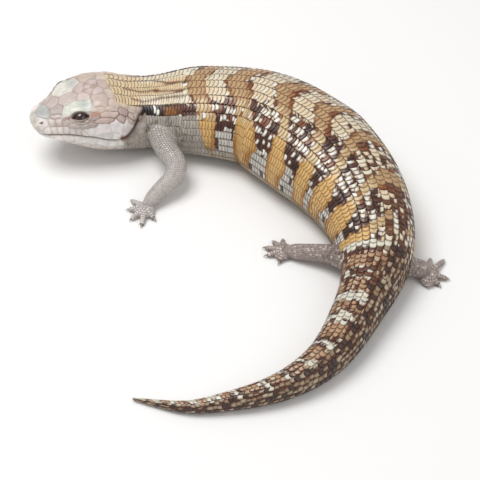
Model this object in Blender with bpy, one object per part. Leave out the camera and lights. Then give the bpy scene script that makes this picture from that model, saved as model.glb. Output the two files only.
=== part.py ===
"""Blue tongued skink, a still life-size model lying on the floor.

The head looks along -X, the body lies in an S with the tail curled back to the left.
Lengths are in millimetres here and become metres where a mesh is made. +Z is up and
the belly, feet and tail rest at z = 0. Places along the animal are measured from the
snout, along the middle line of its back.
"""
import math
from bisect import bisect_right

import bmesh
import bpy
from mathutils import Matrix, Vector

MM = 0.001
GAP = 0.3

# Whole animal
TOTAL_LENGTH = 444.0
CENTRE = (-3.1, 6.6)
SNOUT_PLACE = (-119.6, 67.8)

# Where the body is parted
HEAD_END = 70.0
NECK_END = 84.0
CHEST_END = 150.0
BELLY_END = 222.0
VENT = 285.0
TAIL_BASE_END = 335.0
TAIL_MIDDLE_END = 387.0

# Heading of the spine in degrees, from the snout to the tail tip
SPINE_HEADINGS = (
    (0, 22), (38, 25), (60, 10), (104, -10.5), (126, -17), (150, -40.5), (180, -49), (210, -62),
    (254, -86), (290, -112), (320, -118), (356, -146), (385, -166), (405, -172), (425, -193), (444, -197),
)

# Cross-sections: half width, top and underside of the body as it lies flat
HALF_WIDTH = (
    (0, 3.0), (0.7, 6.0), (2, 8.4), (5, 11.2), (10, 14.2), (18, 18.0), (28, 22.0), (38, 24.4),
    (48, 25.0), (58, 23.8), (68, 23.2), (80, 26.2), (97, 29.8), (116, 30.4), (136, 31.2), (158, 33.8),
    (179, 34.2), (199, 31.8), (221, 28.4), (243, 24.4), (262, 20.8), (280, 17.0), (298, 14.2),
    (320, 12.1), (347, 9.5), (373, 7.1), (397, 5.2), (414, 3.8), (431, 2.3), (444, 1.1),
)
TOP = (
    (0, 16.8), (0.7, 19.0), (2, 20.4), (5, 22.0), (10, 23.6), (14, 25.2), (19, 28.3), (24, 30.4),
    (28, 31.8), (34, 35.2), (40, 37.0), (48, 36.7), (60, 34.6), (75, 35.4), (97, 40.8), (120, 44.5),
    (145, 47), (180, 47), (200, 44.5), (221, 40.5), (243, 36), (262, 32), (280, 28), (298, 24.8),
    (320, 22), (347, 18), (373, 13.5), (397, 10), (414, 7.2), (431, 4.7), (444, 2.6),
)
UNDERSIDE = (
    (0, 14.8), (0.7, 12.4), (2, 10.8), (5, 9.4), (10, 7.8), (18, 5.4), (30, 2.2), (38, 0.9), (45, 0.7),
    (60, -0.5), (300, -0.5), (400, -0.3), (444, 0.2),
)
ROUNDNESS_ABOVE = (
    (0, 2.0), (10, 2.5), (18, 3.6), (28, 3.4), (36, 2.9), (55, 2.6), (80, 2.3), (150, 2.15), (444, 2.0),
)
ROUNDNESS_BELOW = (
    (0, 2.0), (10, 2.6), (30, 3.2), (48, 3.0), (56, 2.6), (90, 2.6), (150, 2.8), (444, 2.0),
)
WIDEST_LEVEL = ((0, 0.45), (20, 0.45), (50, 0.45), (70, 0.42), (300, 0.46), (444, 0.5))
HEAD_LIFT = ((0, 12.6), (20, 9.3), (45, 3.8), (62, 0.9), (76, 0.0), (444, 0.0))

# Head features, at the level they have with the head lying flat
MOUTH_LINE = ((0, 12.4), (8, 15.0), (18, 16.9), (28, 16.8), (38, 15.4), (43, 15.9), (47, 17.6))
MOUTH_CORNER = 44.0
MOUTH_DEPTH = 1.1
MOUTH_WIDTH = 1.0
EYE_PLACE = (24.2, 28.1)
EYE_RADIUS = 4.2
EYE_SINK = 0.35
LID_OPENING = (3.7, 2.35)
NOSTRIL_PLACE = (3.8, 19.8)
NOSTRIL_SIZE = (1.35, 0.75, 1.3)
EAR_FOLD_TOP = (65.5, 28.5)
EAR_FOLD_FOOT = (53.5, 12.5)
EAR_FOLD_DEPTH = 1.7
EAR_HALF_SIZE = (5.0, 1.5, 3.2)
NOSE_LEVEL = 16.4

# Low forms on the head: middle along it, reach along, middle level, reach up, height out of the skin
BROW = (20.6, 6.0, 30.0, 1.8, 1.4)
TEMPLE_HOLLOW = (44.0, 9.0, 27.4, 5.0, -0.9)
CHEEK_HOLLOW = (11.0, 6.0, 24.9, 3.0, -0.7)
JOWL = (47.0, 8.5, 19.0, 9.0, 1.6)
EYE_SWELLING = (4.6, 0.9)
UPPER_LIP = (2.0, 1.7, 0.45)
LOWER_LIP = (-2.2, 1.8, 0.40)

# Limbs: control points from inside the body to the palm or sole, and the thickness there
LIMBS = {
    "left_front": {
        "names": ("upper_arm_left", "forearm_left", "hand_left"),
        "joints": ((-47, 80, 18), (-46.5, 63, 17), (-32.5, 43.5, 13), (-50.5, 28, 5.5), (-53.5, 22.5, 3.4)),
        "thickness": (9.0, 7.0, 6.4, 4.6, 4.1),
        "palm": (6.2, 5.8),
        "digits": ((-63, 31.5), (-65, 23), (-62.5, 14), (-55.5, 8.5), (-47, 13.5)),
    },
    "right_front": {
        "names": ("upper_arm_right", "forearm_right", "hand_right"),
        "joints": ((-46, 96, 18), (-42, 109, 15), (-28.5, 122, 9.5), (-40, 131, 4.8), (-47, 131, 3.4)),
        "thickness": (9.0, 7.0, 5.0, 4.4, 4.1),
        "palm": (6.2, 5.8),
        "digits": ((-50, 121.5), (-56.5, 124.5), (-58.5, 130.5), (-54, 135.5), (-45.5, 137)),
    },
    "left_hind": {
        "names": ("thigh_left", "shank_left", "foot_left"),
        "joints": ((68, -36, 15), (59, -27, 13), (47, -19, 9), (31, -13.8, 4.8), (24.5, -11.5, 3.4)),
        "thickness": (10.0, 7.6, 5.2, 4.6, 4.3),
        "palm": (5.8, 6.0),
        "digits": ((23.5, 0.5), (17.3, -1.2), (11.8, -6.8), (12.5, -13.9), (20.5, -20.5)),
    },
    "right_hind": {
        "names": ("thigh_right", "shank_right", "foot_right"),
        "joints": ((74, -31, 14), (84, -29, 11), (92, -28, 7.8), (98, -27.5, 5.6), (101.5, -29, 3.8)),
        "thickness": (9.0, 7.2, 5.4, 5.2, 5.0),
        "palm": (5.2, 8.2),
        "digits": ((104.5, -14.5), (112.5, -15.8), (113.7, -31.3), (108.2, -37.5), (101, -38.5)),
    },
}
LIMB_BEND = 0.5
WRIST = 0.86
DIGIT_RADIUS = 1.55
CLAW_LENGTH = 2.0
DIGIT_START = 3.2
PALM_HALF_HEIGHT = 3.0
PALM_LEVEL = 2.3

# Sections of a digit (share of its length, height, thickness) and of the claw (claw lengths past it)
DIGIT_SECTIONS = ((-0.3, 2.9, 1.3), (0.2, 2.9, 1.2), (0.5, 2.4, 1.0), (0.8, 1.7, 0.98), (0.97, 1.45, 0.8))
CLAW_SECTIONS = ((0.0, 1.45, 0.5), (0.35, 1.6, 0.42), (0.75, 1.25, 0.28))
CLAW_TIP_LEVEL = 0.45

# How finely the faces are laid
BODY_SIDES = 44
HEAD_SIDES = 40
HEAD_RINGS = 30
TAIL_SIDES = 28
LIMB_SIDES = 16
DIGIT_SIDES = 6
RING_STEP = 6.0
TAIL_RING_STEP = 5.5
SPINE_STEP = 0.5


def clear_scene():
    for item in list(bpy.data.objects):
        bpy.data.objects.remove(item, do_unlink=True)


def new_collection(name):
    collection = bpy.data.collections.new(name)
    bpy.context.scene.collection.children.link(collection)
    return collection


def new_material(name, colour, roughness):
    material = bpy.data.materials.new(name)
    material.use_nodes = True
    shader = material.node_tree.nodes["Principled BSDF"]
    shader.inputs["Base Color"].default_value = (*colour, 1.0)
    shader.inputs["Roughness"].default_value = roughness
    shader.inputs["Metallic"].default_value = 0.0
    return material


def smooth(stations, place):
    """Value at a place on a smooth curve through (place, value) stations, without overshoot."""
    places = [station[0] for station in stations]
    values = [station[1] for station in stations]
    last = len(places) - 1
    start = min(max(bisect_right(places, place) - 1, 0), last - 1)
    secants = [(values[k + 1] - values[k]) / (places[k + 1] - places[k]) for k in range(last)]

    def slope(k):
        if k == 0 or k == last:
            return secants[min(k, last - 1)]
        before, after = secants[k - 1], secants[k]
        return 0.0 if before * after <= 0 else 2 * before * after / (before + after)

    step = places[start + 1] - places[start]
    t = min(max((place - places[start]) / step, 0.0), 1.0)
    return (
        values[start] * (1 + 2 * t) * (1 - t) ** 2
        + step * slope(start) * t * (1 - t) ** 2
        + values[start + 1] * t * t * (3 - 2 * t)
        + step * slope(start + 1) * t * t * (t - 1)
    )


def trace_spine():
    """Middle line of the body on the floor, one point each SPINE_STEP."""
    x, y = SNOUT_PLACE
    line = [(x, y)]
    for k in range(int(TOTAL_LENGTH / SPINE_STEP) + 1):
        heading = math.radians(smooth(SPINE_HEADINGS, (k + 0.5) * SPINE_STEP))
        x += SPINE_STEP * math.cos(heading)
        y += SPINE_STEP * math.sin(heading)
        line.append((x, y))
    return line


SPINE = trace_spine()


def spine_frame(place):
    """Point of the spine on the floor, its direction to the tail, and the animal's left."""
    k = min(max(place / SPINE_STEP, 0.0), len(SPINE) - 1.001)
    low = int(k)
    part = k - low
    x = SPINE[low][0] * (1 - part) + SPINE[low + 1][0] * part
    y = SPINE[low][1] * (1 - part) + SPINE[low + 1][1] * part
    heading = math.radians(smooth(SPINE_HEADINGS, place))
    along = Vector((math.cos(heading), math.sin(heading), 0.0))
    left = Vector((math.sin(heading), -math.cos(heading), 0.0))
    return Vector((x, y, 0.0)), along, left


def section_point(place, angle, grow=0.0):
    """Distance to the left and height of a skin point; angle 0 is left, 90 degrees is up."""
    half_width = smooth(HALF_WIDTH, place) + grow
    top = smooth(TOP, place) + grow
    low = smooth(UNDERSIDE, place) - grow
    middle = low + smooth(WIDEST_LEVEL, place) * (top - low)
    across, up = math.cos(angle), math.sin(angle)
    power = 2.0 / smooth(ROUNDNESS_ABOVE if up >= 0 else ROUNDNESS_BELOW, place)
    reach = top - middle if up >= 0 else middle - low
    left = half_width * math.copysign(abs(across) ** power, across)
    height = middle + reach * math.copysign(abs(up) ** power, up)
    return left, height


def body_point(place, angle, grow=0.0, shift=0.0):
    left, height = section_point(place, angle, grow)
    centre, along, side = spine_frame(place)
    point = centre + side * left + along * shift
    point.z = max(height + smooth(HEAD_LIFT, place), -grow)
    return point


def bump(distance, reach):
    return math.exp(-(distance / reach) ** 2)


def head_relief(place, left, height):
    """How far the head's forms stand out of its plain section, for one skin point."""
    flank = min(max((abs(left) - 7.0) / 6.0, 0.0), 1.0)
    relief = 0.0
    for middle, reach, level, rise, strength in (BROW, TEMPLE_HOLLOW, CHEEK_HOLLOW):
        relief += strength * flank * bump(place - middle, reach) * bump(height - level, rise)
    reach, strength = EYE_SWELLING
    away = math.hypot((place - EYE_PLACE[0]) / 1.25, height - EYE_PLACE[1])
    relief += strength * flank * bump(away, reach)
    middle, reach, level, rise, strength = JOWL
    relief += strength * bump(place - middle, reach) * bump(height - level, rise)
    relief -= EAR_FOLD_DEPTH * fold_strength(place, height)
    lip_fade = min(max((MOUTH_CORNER + 2.0 - place) / 6.0, 0.0), 1.0)
    for offset, rise, strength in (UPPER_LIP, LOWER_LIP):
        relief += strength * lip_fade * bump(height - mouth_level(place) - offset, rise)
    return relief


def mouth_level(place):
    return smooth(MOUTH_LINE, place)


def fold_strength(place, height):
    """1 in the crease that runs behind the jowl from the throat up past the ear, 0 away from it."""
    run = EAR_FOLD_TOP[0] - EAR_FOLD_FOOT[0]
    rise = EAR_FOLD_TOP[1] - EAR_FOLD_FOOT[1]
    length = math.hypot(run, rise)
    along = ((place - EAR_FOLD_FOOT[0]) * run + (height - EAR_FOLD_FOOT[1]) * rise) / length
    aside = ((place - EAR_FOLD_FOOT[0]) * rise - (height - EAR_FOLD_FOOT[1]) * run) / length
    beyond = max(-along, along - length, 0.0)
    return bump(aside, 2.4) * bump(beyond, 2.0)


def head_point(place, angle, grow=0.0):
    """Skin point of the head with its forms, which fade out before the neck."""
    point = body_point(place, angle, grow)
    delta = 0.02
    ahead = body_point(min(place + 0.2, TOTAL_LENGTH), angle, grow) - point
    around = body_point(place, angle + delta, grow) - body_point(place, angle - delta, grow)
    normal = around.cross(ahead)
    if normal.length < 1e-9:
        return point
    fade = min(max((HEAD_END - 1.0 - place) / 5.0, 0.0), 1.0)
    left, height = section_point(place, angle, grow)
    return point + normal.normalized() * (fade * head_relief(place, left, height))


def angle_at_level(place, level, side):
    """Angle of the skin point at a level, on the left (side 1) or the right (side -1)."""
    low, high = -math.pi / 2, math.pi / 2
    for _ in range(40):
        middle = (low + high) / 2
        if section_point(place, middle)[1] < level:
            low = middle
        else:
            high = middle
    return low if side > 0 else math.pi - low


def head_frame(place, level, side):
    """Frame on the head's skin: X along to the tail, Y up over the skin, Z out of it."""
    angle = angle_at_level(place, level, side)
    point = head_point(place, angle)
    along = (head_point(place + 0.5, angle) - head_point(place - 0.5, angle)).normalized()
    over = head_point(place, angle + 0.04 * side) - head_point(place, angle - 0.04 * side)
    out = along.cross(over) * side
    out = -out.normalized() if out.dot(spine_frame(place)[2]) * side < 0 else out.normalized()
    over = (over - along * over.dot(along)).normalized()
    frame = Matrix((along, over, out)).transposed().to_4x4()
    frame.translation = point
    return frame


def to_world(point):
    return Vector(((point[0] - CENTRE[0]) * MM, (point[1] - CENTRE[1]) * MM, point[2] * MM))


def finish_mesh(name, mesh_data, collection, material):
    """Object from a bmesh in millimetres, triangulated, its faces turned outwards."""
    for vertex in mesh_data.verts:
        vertex.co = to_world(vertex.co)
    bmesh.ops.triangulate(mesh_data, faces=mesh_data.faces[:])
    bmesh.ops.recalc_face_normals(mesh_data, faces=mesh_data.faces[:])
    mesh = bpy.data.meshes.new(name)
    mesh_data.to_mesh(mesh)
    mesh_data.free()
    item = bpy.data.objects.new(name, mesh)
    if material is not None:
        mesh.materials.append(material)
    collection.objects.link(item)
    return item


def loft(mesh_data, rings, tip_start=None, tip_end=None):
    """Skin closed rings of points in order; each end is a flat face or runs to a tip."""
    loops = [[mesh_data.verts.new(point) for point in ring] for ring in rings]
    count = len(loops[0])
    for first, second in zip(loops, loops[1:]):
        for k in range(count):
            after = (k + 1) % count
            mesh_data.faces.new((first[k], first[after], second[after], second[k]))
    for loop, tip in ((loops[0], tip_start), (loops[-1], tip_end)):
        if tip is None:
            mesh_data.faces.new(loop)
            continue
        point = mesh_data.verts.new(tip)
        for k in range(count):
            mesh_data.faces.new((loop[k], loop[(k + 1) % count], point))
    return loops


def body_ring(place, sides, grow=0.0, shift=0.0):
    return [body_point(place, 2 * math.pi * (k + 0.5) / sides, grow, shift) for k in range(sides)]


def body_length(name, start, end, sides, step, collection, material):
    """One length of the body between two parting planes, each set back by half the gap."""
    count = max(2, round((end - start) / step))
    rings = []
    for k in range(count + 1):
        shift = GAP / 2 if k == 0 else -GAP / 2 if k == count and end < TOTAL_LENGTH else 0.0
        rings.append(body_ring(start + (end - start) * k / count, sides, 0.0, shift))
    tip = None
    if end >= TOTAL_LENGTH:
        centre, along, _ = spine_frame(TOTAL_LENGTH)
        tip = centre + along * 0.8 + Vector((0, 0, 1.2))
    mesh_data = bmesh.new()
    loft(mesh_data, rings, tip_end=tip)
    return finish_mesh(name, mesh_data, collection, material)


def build_head(collection, material):
    """The head as one closed skin of rings, with finer faces round the eyes."""
    mesh_data = bmesh.new()
    spot = mesh_data.verts.layers.float_vector.new("spot")
    rings = []
    places = []
    for k in range(1, HEAD_RINGS + 1):
        place = HEAD_END * (k / HEAD_RINGS) ** 1.55
        places.append(place)
        ring = [head_point(place, 2 * math.pi * (j + 0.5) / HEAD_SIDES) for j in range(HEAD_SIDES)]
        if k == HEAD_RINGS:
            along = spine_frame(place)[1]
            ring = [point - along * (GAP / 2) for point in ring]
        rings.append(ring)
    nose = spine_frame(0.0)[0]
    nose.z = NOSE_LEVEL + smooth(HEAD_LIFT, 0.0)
    loops = loft(mesh_data, rings, tip_start=nose)
    for place, loop in zip(places, loops):
        for j, vertex in enumerate(loop):
            angle = 2 * math.pi * (j + 0.5) / HEAD_SIDES
            vertex[spot] = (place, math.cos(angle), math.sin(angle))
    refine_near_eyes(mesh_data, spot)
    return finish_mesh("head", mesh_data, collection, material)


def refine_near_eyes(mesh_data, spot):
    """Split the faces round each eye and set the new corners on the true skin."""
    centres = [head_frame(*EYE_PLACE, side).translation for side in (1, -1)]
    near = []
    for edge in mesh_data.edges:
        middle = (edge.verts[0].co + edge.verts[1].co) / 2
        if min((middle - centre).length for centre in centres) < 8.0:
            near.append(edge)
    old = set(mesh_data.verts)
    middles = {}
    for edge in near:
        first, second = edge.verts
        key = tuple(round(c, 4) for c in (first.co + second.co) / 2)
        middles[key] = (Vector(first[spot]), Vector(second[spot]))
    bmesh.ops.subdivide_edges(mesh_data, edges=near, cuts=1, use_grid_fill=True)
    for vertex in mesh_data.verts:
        if vertex in old:
            continue
        pair = middles.get(tuple(round(c, 4) for c in vertex.co))
        where = (pair[0] + pair[1]) / 2 if pair else Vector(vertex[spot])
        if where.length > 0:
            vertex.co = head_point(where[0], math.atan2(where[2], where[1]))


def ellipsoid(mesh_data, frame, size, segments=16, rings=10):
    scaled = frame @ Matrix.Diagonal((*size, 1.0))
    bmesh.ops.create_uvsphere(mesh_data, u_segments=segments, v_segments=rings, radius=1.0, matrix=scaled)


def cutter_object(name, mesh_data, cutters):
    item = finish_mesh(name, mesh_data, cutters, None)
    item.hide_render = True
    item.display_type = "WIRE"
    return item


def eye_centre(side):
    frame = head_frame(*EYE_PLACE, side)
    out = frame.to_3x3().col[2]
    return frame.translation - out * (EYE_RADIUS - EYE_SINK), out, frame


def cut_eye_socket(side, cutters):
    """Round socket a little wider than the eyeball, opened by an almond between the lids."""
    centre, out, frame = eye_centre(side)
    socket = bmesh.new()
    bmesh.ops.create_icosphere(
        socket, subdivisions=3, radius=EYE_RADIUS + GAP, matrix=Matrix.Translation(centre)
    )
    label = "left" if side > 0 else "right"
    cutter_object("socket_" + label, socket, cutters)
    opening = bmesh.new()
    turned = frame.copy()
    turned.translation = centre + out * 1.5
    points = 24
    rim = []
    for k in range(points):
        angle = 2 * math.pi * k / points
        high = math.sin(angle)
        lift = LID_OPENING[1] * math.copysign(abs(high) ** 1.3, high)
        rim.append(Vector((LID_OPENING[0] * math.cos(angle), lift, 0.0)))
    near = [turned @ point for point in rim]
    far = [turned @ (point * 1.25 + Vector((0, 0, 5.0))) for point in rim]
    loft(opening, [near, far])
    cutter_object("lid_opening_" + label, opening, cutters)


def cut_ear(side, cutters):
    """Slanted cup of the ear, its foot nearer the mouth than its top."""
    middle = ((EAR_FOLD_TOP[0] + EAR_FOLD_FOOT[0]) / 2, (EAR_FOLD_TOP[1] + EAR_FOLD_FOOT[1]) / 2)
    top = head_frame(*EAR_FOLD_TOP, side).translation
    foot = head_frame(*EAR_FOLD_FOOT, side).translation
    frame = head_frame(*middle, side)
    out = frame.to_3x3().col[2]
    slit = (top - foot).normalized()
    across = slit.cross(out).normalized()
    out = across.cross(slit).normalized()
    turned = Matrix((slit, across, out)).transposed().to_4x4()
    turned.translation = frame.translation - out * 0.2
    mesh_data = bmesh.new()
    ellipsoid(mesh_data, turned, EAR_HALF_SIZE, 14, 8)
    cutter_object("ear_" + ("left" if side > 0 else "right"), mesh_data, cutters)


def cut_nostril(side, cutters):
    frame = head_frame(*NOSTRIL_PLACE, side)
    mesh_data = bmesh.new()
    slanted = frame @ Matrix.Rotation(math.radians(25), 4, "Z")
    ellipsoid(mesh_data, slanted, NOSTRIL_SIZE, 12, 8)
    cutter_object("nostril_" + ("left" if side > 0 else "right"), mesh_data, cutters)


def cut_mouth(cutters):
    """Wedge that runs round the snout from one corner of the mouth to the other."""
    line = []
    steps = 26
    front = 0.9
    for side in (1, -1):
        half = []
        for k in range(steps + 1):
            place = front + (MOUTH_CORNER - front) * (k / steps) ** 1.4
            half.append(head_point(place, angle_at_level(place, mouth_level(place), side)))
        line = line[::-1] + half if side < 0 else half
    rings = []
    for k, point in enumerate(line):
        before = line[max(k - 1, 0)]
        after = line[min(k + 1, len(line) - 1)]
        tangent = (after - before).normalized()
        out = tangent.cross(Vector((0, 0, 1))).normalized()
        if out.dot(point - spine_frame(30.0)[0] - Vector((0, 0, point.z))) < 0:
            out = -out
        fade = min(1.0, 0.25 + 0.3 * min(k, len(line) - 1 - k))
        up = Vector((0, 0, MOUTH_WIDTH / 2))
        outer = point + out * 1.2
        inner = point - out * (MOUTH_DEPTH * fade)
        rings.append([outer + up, outer - up, inner - up * 0.2, inner + up * 0.2])
    mesh_data = bmesh.new()
    loft(mesh_data, rings)
    cutter_object("mouth", mesh_data, cutters)


def build_eye(side, collection, material):
    centre = eye_centre(side)[0]
    mesh_data = bmesh.new()
    bmesh.ops.create_icosphere(
        mesh_data, subdivisions=3, radius=EYE_RADIUS, matrix=Matrix.Translation(centre)
    )
    return finish_mesh("eye_" + ("left" if side > 0 else "right"), mesh_data, collection, material)


def subtract(item, collection, solver="EXACT"):
    """Cut every object of a collection from an item, and keep the result as its mesh."""
    modifier = item.modifiers.new("cut", "BOOLEAN")
    modifier.operation = "DIFFERENCE"
    modifier.operand_type = "COLLECTION"
    modifier.collection = collection
    modifier.solver = solver
    bake(item)


def unite(item, collection):
    """Join every object of a collection to an item, then remove them."""
    modifier = item.modifiers.new("join", "BOOLEAN")
    modifier.operation = "UNION"
    modifier.operand_type = "COLLECTION"
    modifier.collection = collection
    modifier.solver = "EXACT"
    bake(item)
    for piece in list(collection.objects):
        bpy.data.objects.remove(piece, do_unlink=True)
    bpy.data.collections.remove(collection)


def bake(item):
    """Apply an item's modifiers and keep only its largest closed surface."""
    evaluated = item.evaluated_get(bpy.context.evaluated_depsgraph_get())
    mesh = bpy.data.meshes.new_from_object(evaluated)
    item.modifiers.clear()
    item.data = mesh
    mesh_data = bmesh.new()
    mesh_data.from_mesh(mesh)
    bmesh.ops.remove_doubles(mesh_data, verts=mesh_data.verts[:], dist=0.00001)
    keep_largest(mesh_data)
    bmesh.ops.triangulate(mesh_data, faces=mesh_data.faces[:])
    mesh_data.to_mesh(mesh)
    mesh_data.free()


def keep_largest(mesh_data):
    left = set(mesh_data.verts)
    shells = []
    while left:
        shell = set()
        edge = [left.pop()]
        while edge:
            vertex = edge.pop()
            shell.add(vertex)
            for link in vertex.link_edges:
                other = link.other_vert(vertex)
                if other in left:
                    left.remove(other)
                    edge.append(other)
        shells.append(shell)
    shells.sort(key=len)
    for shell in shells[:-1]:
        bmesh.ops.delete(mesh_data, geom=list(shell), context="VERTS")


def limb_path(points, t):
    """Smooth path guided by the limb's points: value, and its direction; t runs 0 to 1."""
    spans = len(points) - 2
    k = min(int(t * spans), spans - 1)
    u = t * spans - k
    a, b, c = points[k], points[k + 1], points[k + 2]
    start = a if k == 0 else (a + b) / 2
    end = c if k == spans - 1 else (b + c) / 2
    value = start * (1 - u) ** 2 + b * 2 * u * (1 - u) + end * u * u
    direction = (b - start) * (1 - u) + (end - b) * u
    return value, direction


def limb_ring(points, sizes, t, shift=0.0, sides=LIMB_SIDES):
    value, direction = limb_path(points, t)
    along = direction.normalized()
    up = (Vector((0, 0, 1)) - along * along.z).normalized()
    side = along.cross(up)
    radius = limb_path(sizes, t)[0].x
    ring = []
    for k in range(sides):
        angle = 2 * math.pi * k / sides
        point = value + along * shift + (side * math.cos(angle) + up * math.sin(angle)) * radius
        ring.append(Vector((point.x, point.y, max(point.z, 0.25))))
    return ring


def limb_length(name, points, sizes, start, end, rings, collection, material):
    """One length of a limb between two parting planes."""
    loops = []
    for k in range(rings + 1):
        shift = GAP / 2 if k == 0 else -GAP / 2 if k == rings else 0.0
        loops.append(limb_ring(points, sizes, start + (end - start) * k / rings, shift))
    mesh_data = bmesh.new()
    loft(mesh_data, loops)
    return finish_mesh(name, mesh_data, collection, material)


def build_digit(name, root, tip, collection):
    """A short toe that arches to the floor and ends in a curved claw."""
    flat = Vector((tip[0] - root.x, tip[1] - root.y, 0.0))
    reach = flat.length - CLAW_LENGTH
    along = flat.normalized()
    side = along.cross(Vector((0, 0, 1)))
    rings = [(reach * part, height, thickness) for part, height, thickness in DIGIT_SECTIONS]
    rings += [(reach + CLAW_LENGTH * part, height, thickness) for part, height, thickness in CLAW_SECTIONS]
    loops = []
    for distance, height, thickness in rings:
        centre = root + along * distance
        centre.z = height
        radius = thickness * DIGIT_RADIUS
        loop = []
        for k in range(DIGIT_SIDES):
            angle = 2 * math.pi * (k + 0.5) / DIGIT_SIDES
            rise = Vector((0, 0, radius * math.sin(angle)))
            loop.append(centre + side * (radius * math.cos(angle)) + rise)
        loops.append(loop)
    tip_point = root + along * flat.length
    tip_point.z = CLAW_TIP_LEVEL
    mesh_data = bmesh.new()
    loft(mesh_data, loops, tip_end=tip_point)
    return finish_mesh(name, mesh_data, collection, None)


def build_foot(name, limb, points, sizes, collection, material, floor):
    """Palm, digits and claws in one piece, flat where it stands on the floor."""
    pieces = new_collection(name + "_pieces")
    wrist, direction = limb_path(points, WRIST)
    root = points[-1].copy()
    heading = Vector((root.x - wrist.x, root.y - wrist.y, 0)).normalized()
    loops = [limb_ring(points, sizes, WRIST, GAP / 2)]
    for k in (0.25, 0.5, 0.75, 1.0):
        loops.append(limb_ring(points, sizes, WRIST + (1 - WRIST) * k * 0.98))
    mesh_data = bmesh.new()
    loft(mesh_data, loops)
    foot = finish_mesh(name, mesh_data, collection, material)
    palm = bmesh.new()
    across = heading.cross(Vector((0, 0, 1)))
    frame = Matrix((heading, across, Vector((0, 0, 1)))).transposed().to_4x4()
    frame.translation = Vector((root.x, root.y, PALM_LEVEL)) + heading * 0.8
    ellipsoid(palm, frame, (*limb["palm"], PALM_HALF_HEIGHT), 14, 6)
    finish_mesh(name + "_palm", palm, pieces, None)
    for k, tip in enumerate(limb["digits"]):
        lead = Vector((tip[0] - root.x, tip[1] - root.y, 0)).normalized()
        build_digit(name + "_digit_" + str(k), root + lead * DIGIT_START, tip, pieces)
    unite(foot, pieces)
    trim(foot, wrist, direction.normalized())
    subtract(foot, floor)
    return foot


def trim(item, point, direction):
    """Cut an item flat half the gap past a parting plane, and close the cut."""
    mesh_data = bmesh.new()
    mesh_data.from_mesh(item.data)
    everything = mesh_data.verts[:] + mesh_data.edges[:] + mesh_data.faces[:]
    plane = to_world(point + direction * (GAP / 2))
    bmesh.ops.bisect_plane(
        mesh_data, geom=everything, dist=0.000005, plane_co=plane, plane_no=direction, clear_inner=True
    )
    rim = [edge for edge in mesh_data.edges if edge.is_boundary]
    bmesh.ops.holes_fill(mesh_data, edges=rim, sides=0)
    bmesh.ops.triangulate(mesh_data, faces=mesh_data.faces[:])
    mesh_data.to_mesh(item.data)
    mesh_data.free()


def build_limb(limb, collection, material, body_copy, floor):
    """Upper and lower length of a limb, both cut clear of the body, and its foot."""
    points = [Vector(point) for point in limb["joints"]]
    sizes = [Vector((size, 0, 0)) for size in limb["thickness"]]
    upper, lower, foot = limb["names"]
    for name, start, end, rings in ((upper, 0.0, LIMB_BEND, 10), (lower, LIMB_BEND, WRIST, 6)):
        length = limb_length(name, points, sizes, start, end, rings, collection, material)
        subtract(length, body_copy, "MANIFOLD")
    build_foot(foot, limb, points, sizes, collection, material, floor)


def build_body_copy():
    """The body from the neck to the tail base, grown by the gap, which clears the limb roots."""
    cutters = new_collection("body_clearance")
    step = 3.0
    count = round((VENT + 12.0 - 50.0) / step)
    rings = [body_ring(50.0 + step * k, BODY_SIDES, GAP) for k in range(count + 1)]
    mesh_data = bmesh.new()
    loft(mesh_data, rings)
    cutter_object("body_copy", mesh_data, cutters)
    return cutters


def build_floor():
    cutters = new_collection("floor_level")
    mesh_data = bmesh.new()
    size = Matrix.Diagonal((400.0, 400.0, 20.0, 1.0))
    bmesh.ops.create_cube(mesh_data, size=1.0, matrix=Matrix.Translation((0, 0, -10.0)) @ size)
    cutter_object("floor_block", mesh_data, cutters)
    return cutters


def main():
    clear_scene()
    animal = new_collection("blue_tongued_skink")
    head_cutters = new_collection("head_cutters")
    skin = new_material("scaled_skin", (0.36, 0.25, 0.15), 0.45)
    head_skin = new_material("head_shields", (0.45, 0.36, 0.28), 0.42)
    limb_skin = new_material("limb_skin", (0.42, 0.36, 0.31), 0.45)
    eye = new_material("eye", (0.03, 0.015, 0.01), 0.08)

    head = build_head(animal, head_skin)
    for side in (1, -1):
        cut_eye_socket(side, head_cutters)
        cut_ear(side, head_cutters)
        cut_nostril(side, head_cutters)
        build_eye(side, animal, eye)
    cut_mouth(head_cutters)
    subtract(head, head_cutters)

    lengths = (
        ("neck", HEAD_END, NECK_END, HEAD_SIDES, RING_STEP),
        ("torso_front", NECK_END, CHEST_END, BODY_SIDES, RING_STEP),
        ("torso_rear", CHEST_END, BELLY_END, BODY_SIDES, RING_STEP),
        ("hips", BELLY_END, VENT, BODY_SIDES, RING_STEP),
        ("tail_base", VENT, TAIL_BASE_END, TAIL_SIDES, TAIL_RING_STEP),
        ("tail_middle", TAIL_BASE_END, TAIL_MIDDLE_END, TAIL_SIDES, TAIL_RING_STEP),
        ("tail_end", TAIL_MIDDLE_END, TOTAL_LENGTH, TAIL_SIDES, TAIL_RING_STEP),
    )
    for name, start, end, sides, step in lengths:
        body_length(name, start, end, sides, step, animal, skin)

    body_copy = build_body_copy()
    floor = build_floor()
    for limb in LIMBS.values():
        build_limb(limb, animal, limb_skin, body_copy, floor)


main()
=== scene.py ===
import math

import bmesh
import bpy
import numpy as np
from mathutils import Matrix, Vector, kdtree


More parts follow.
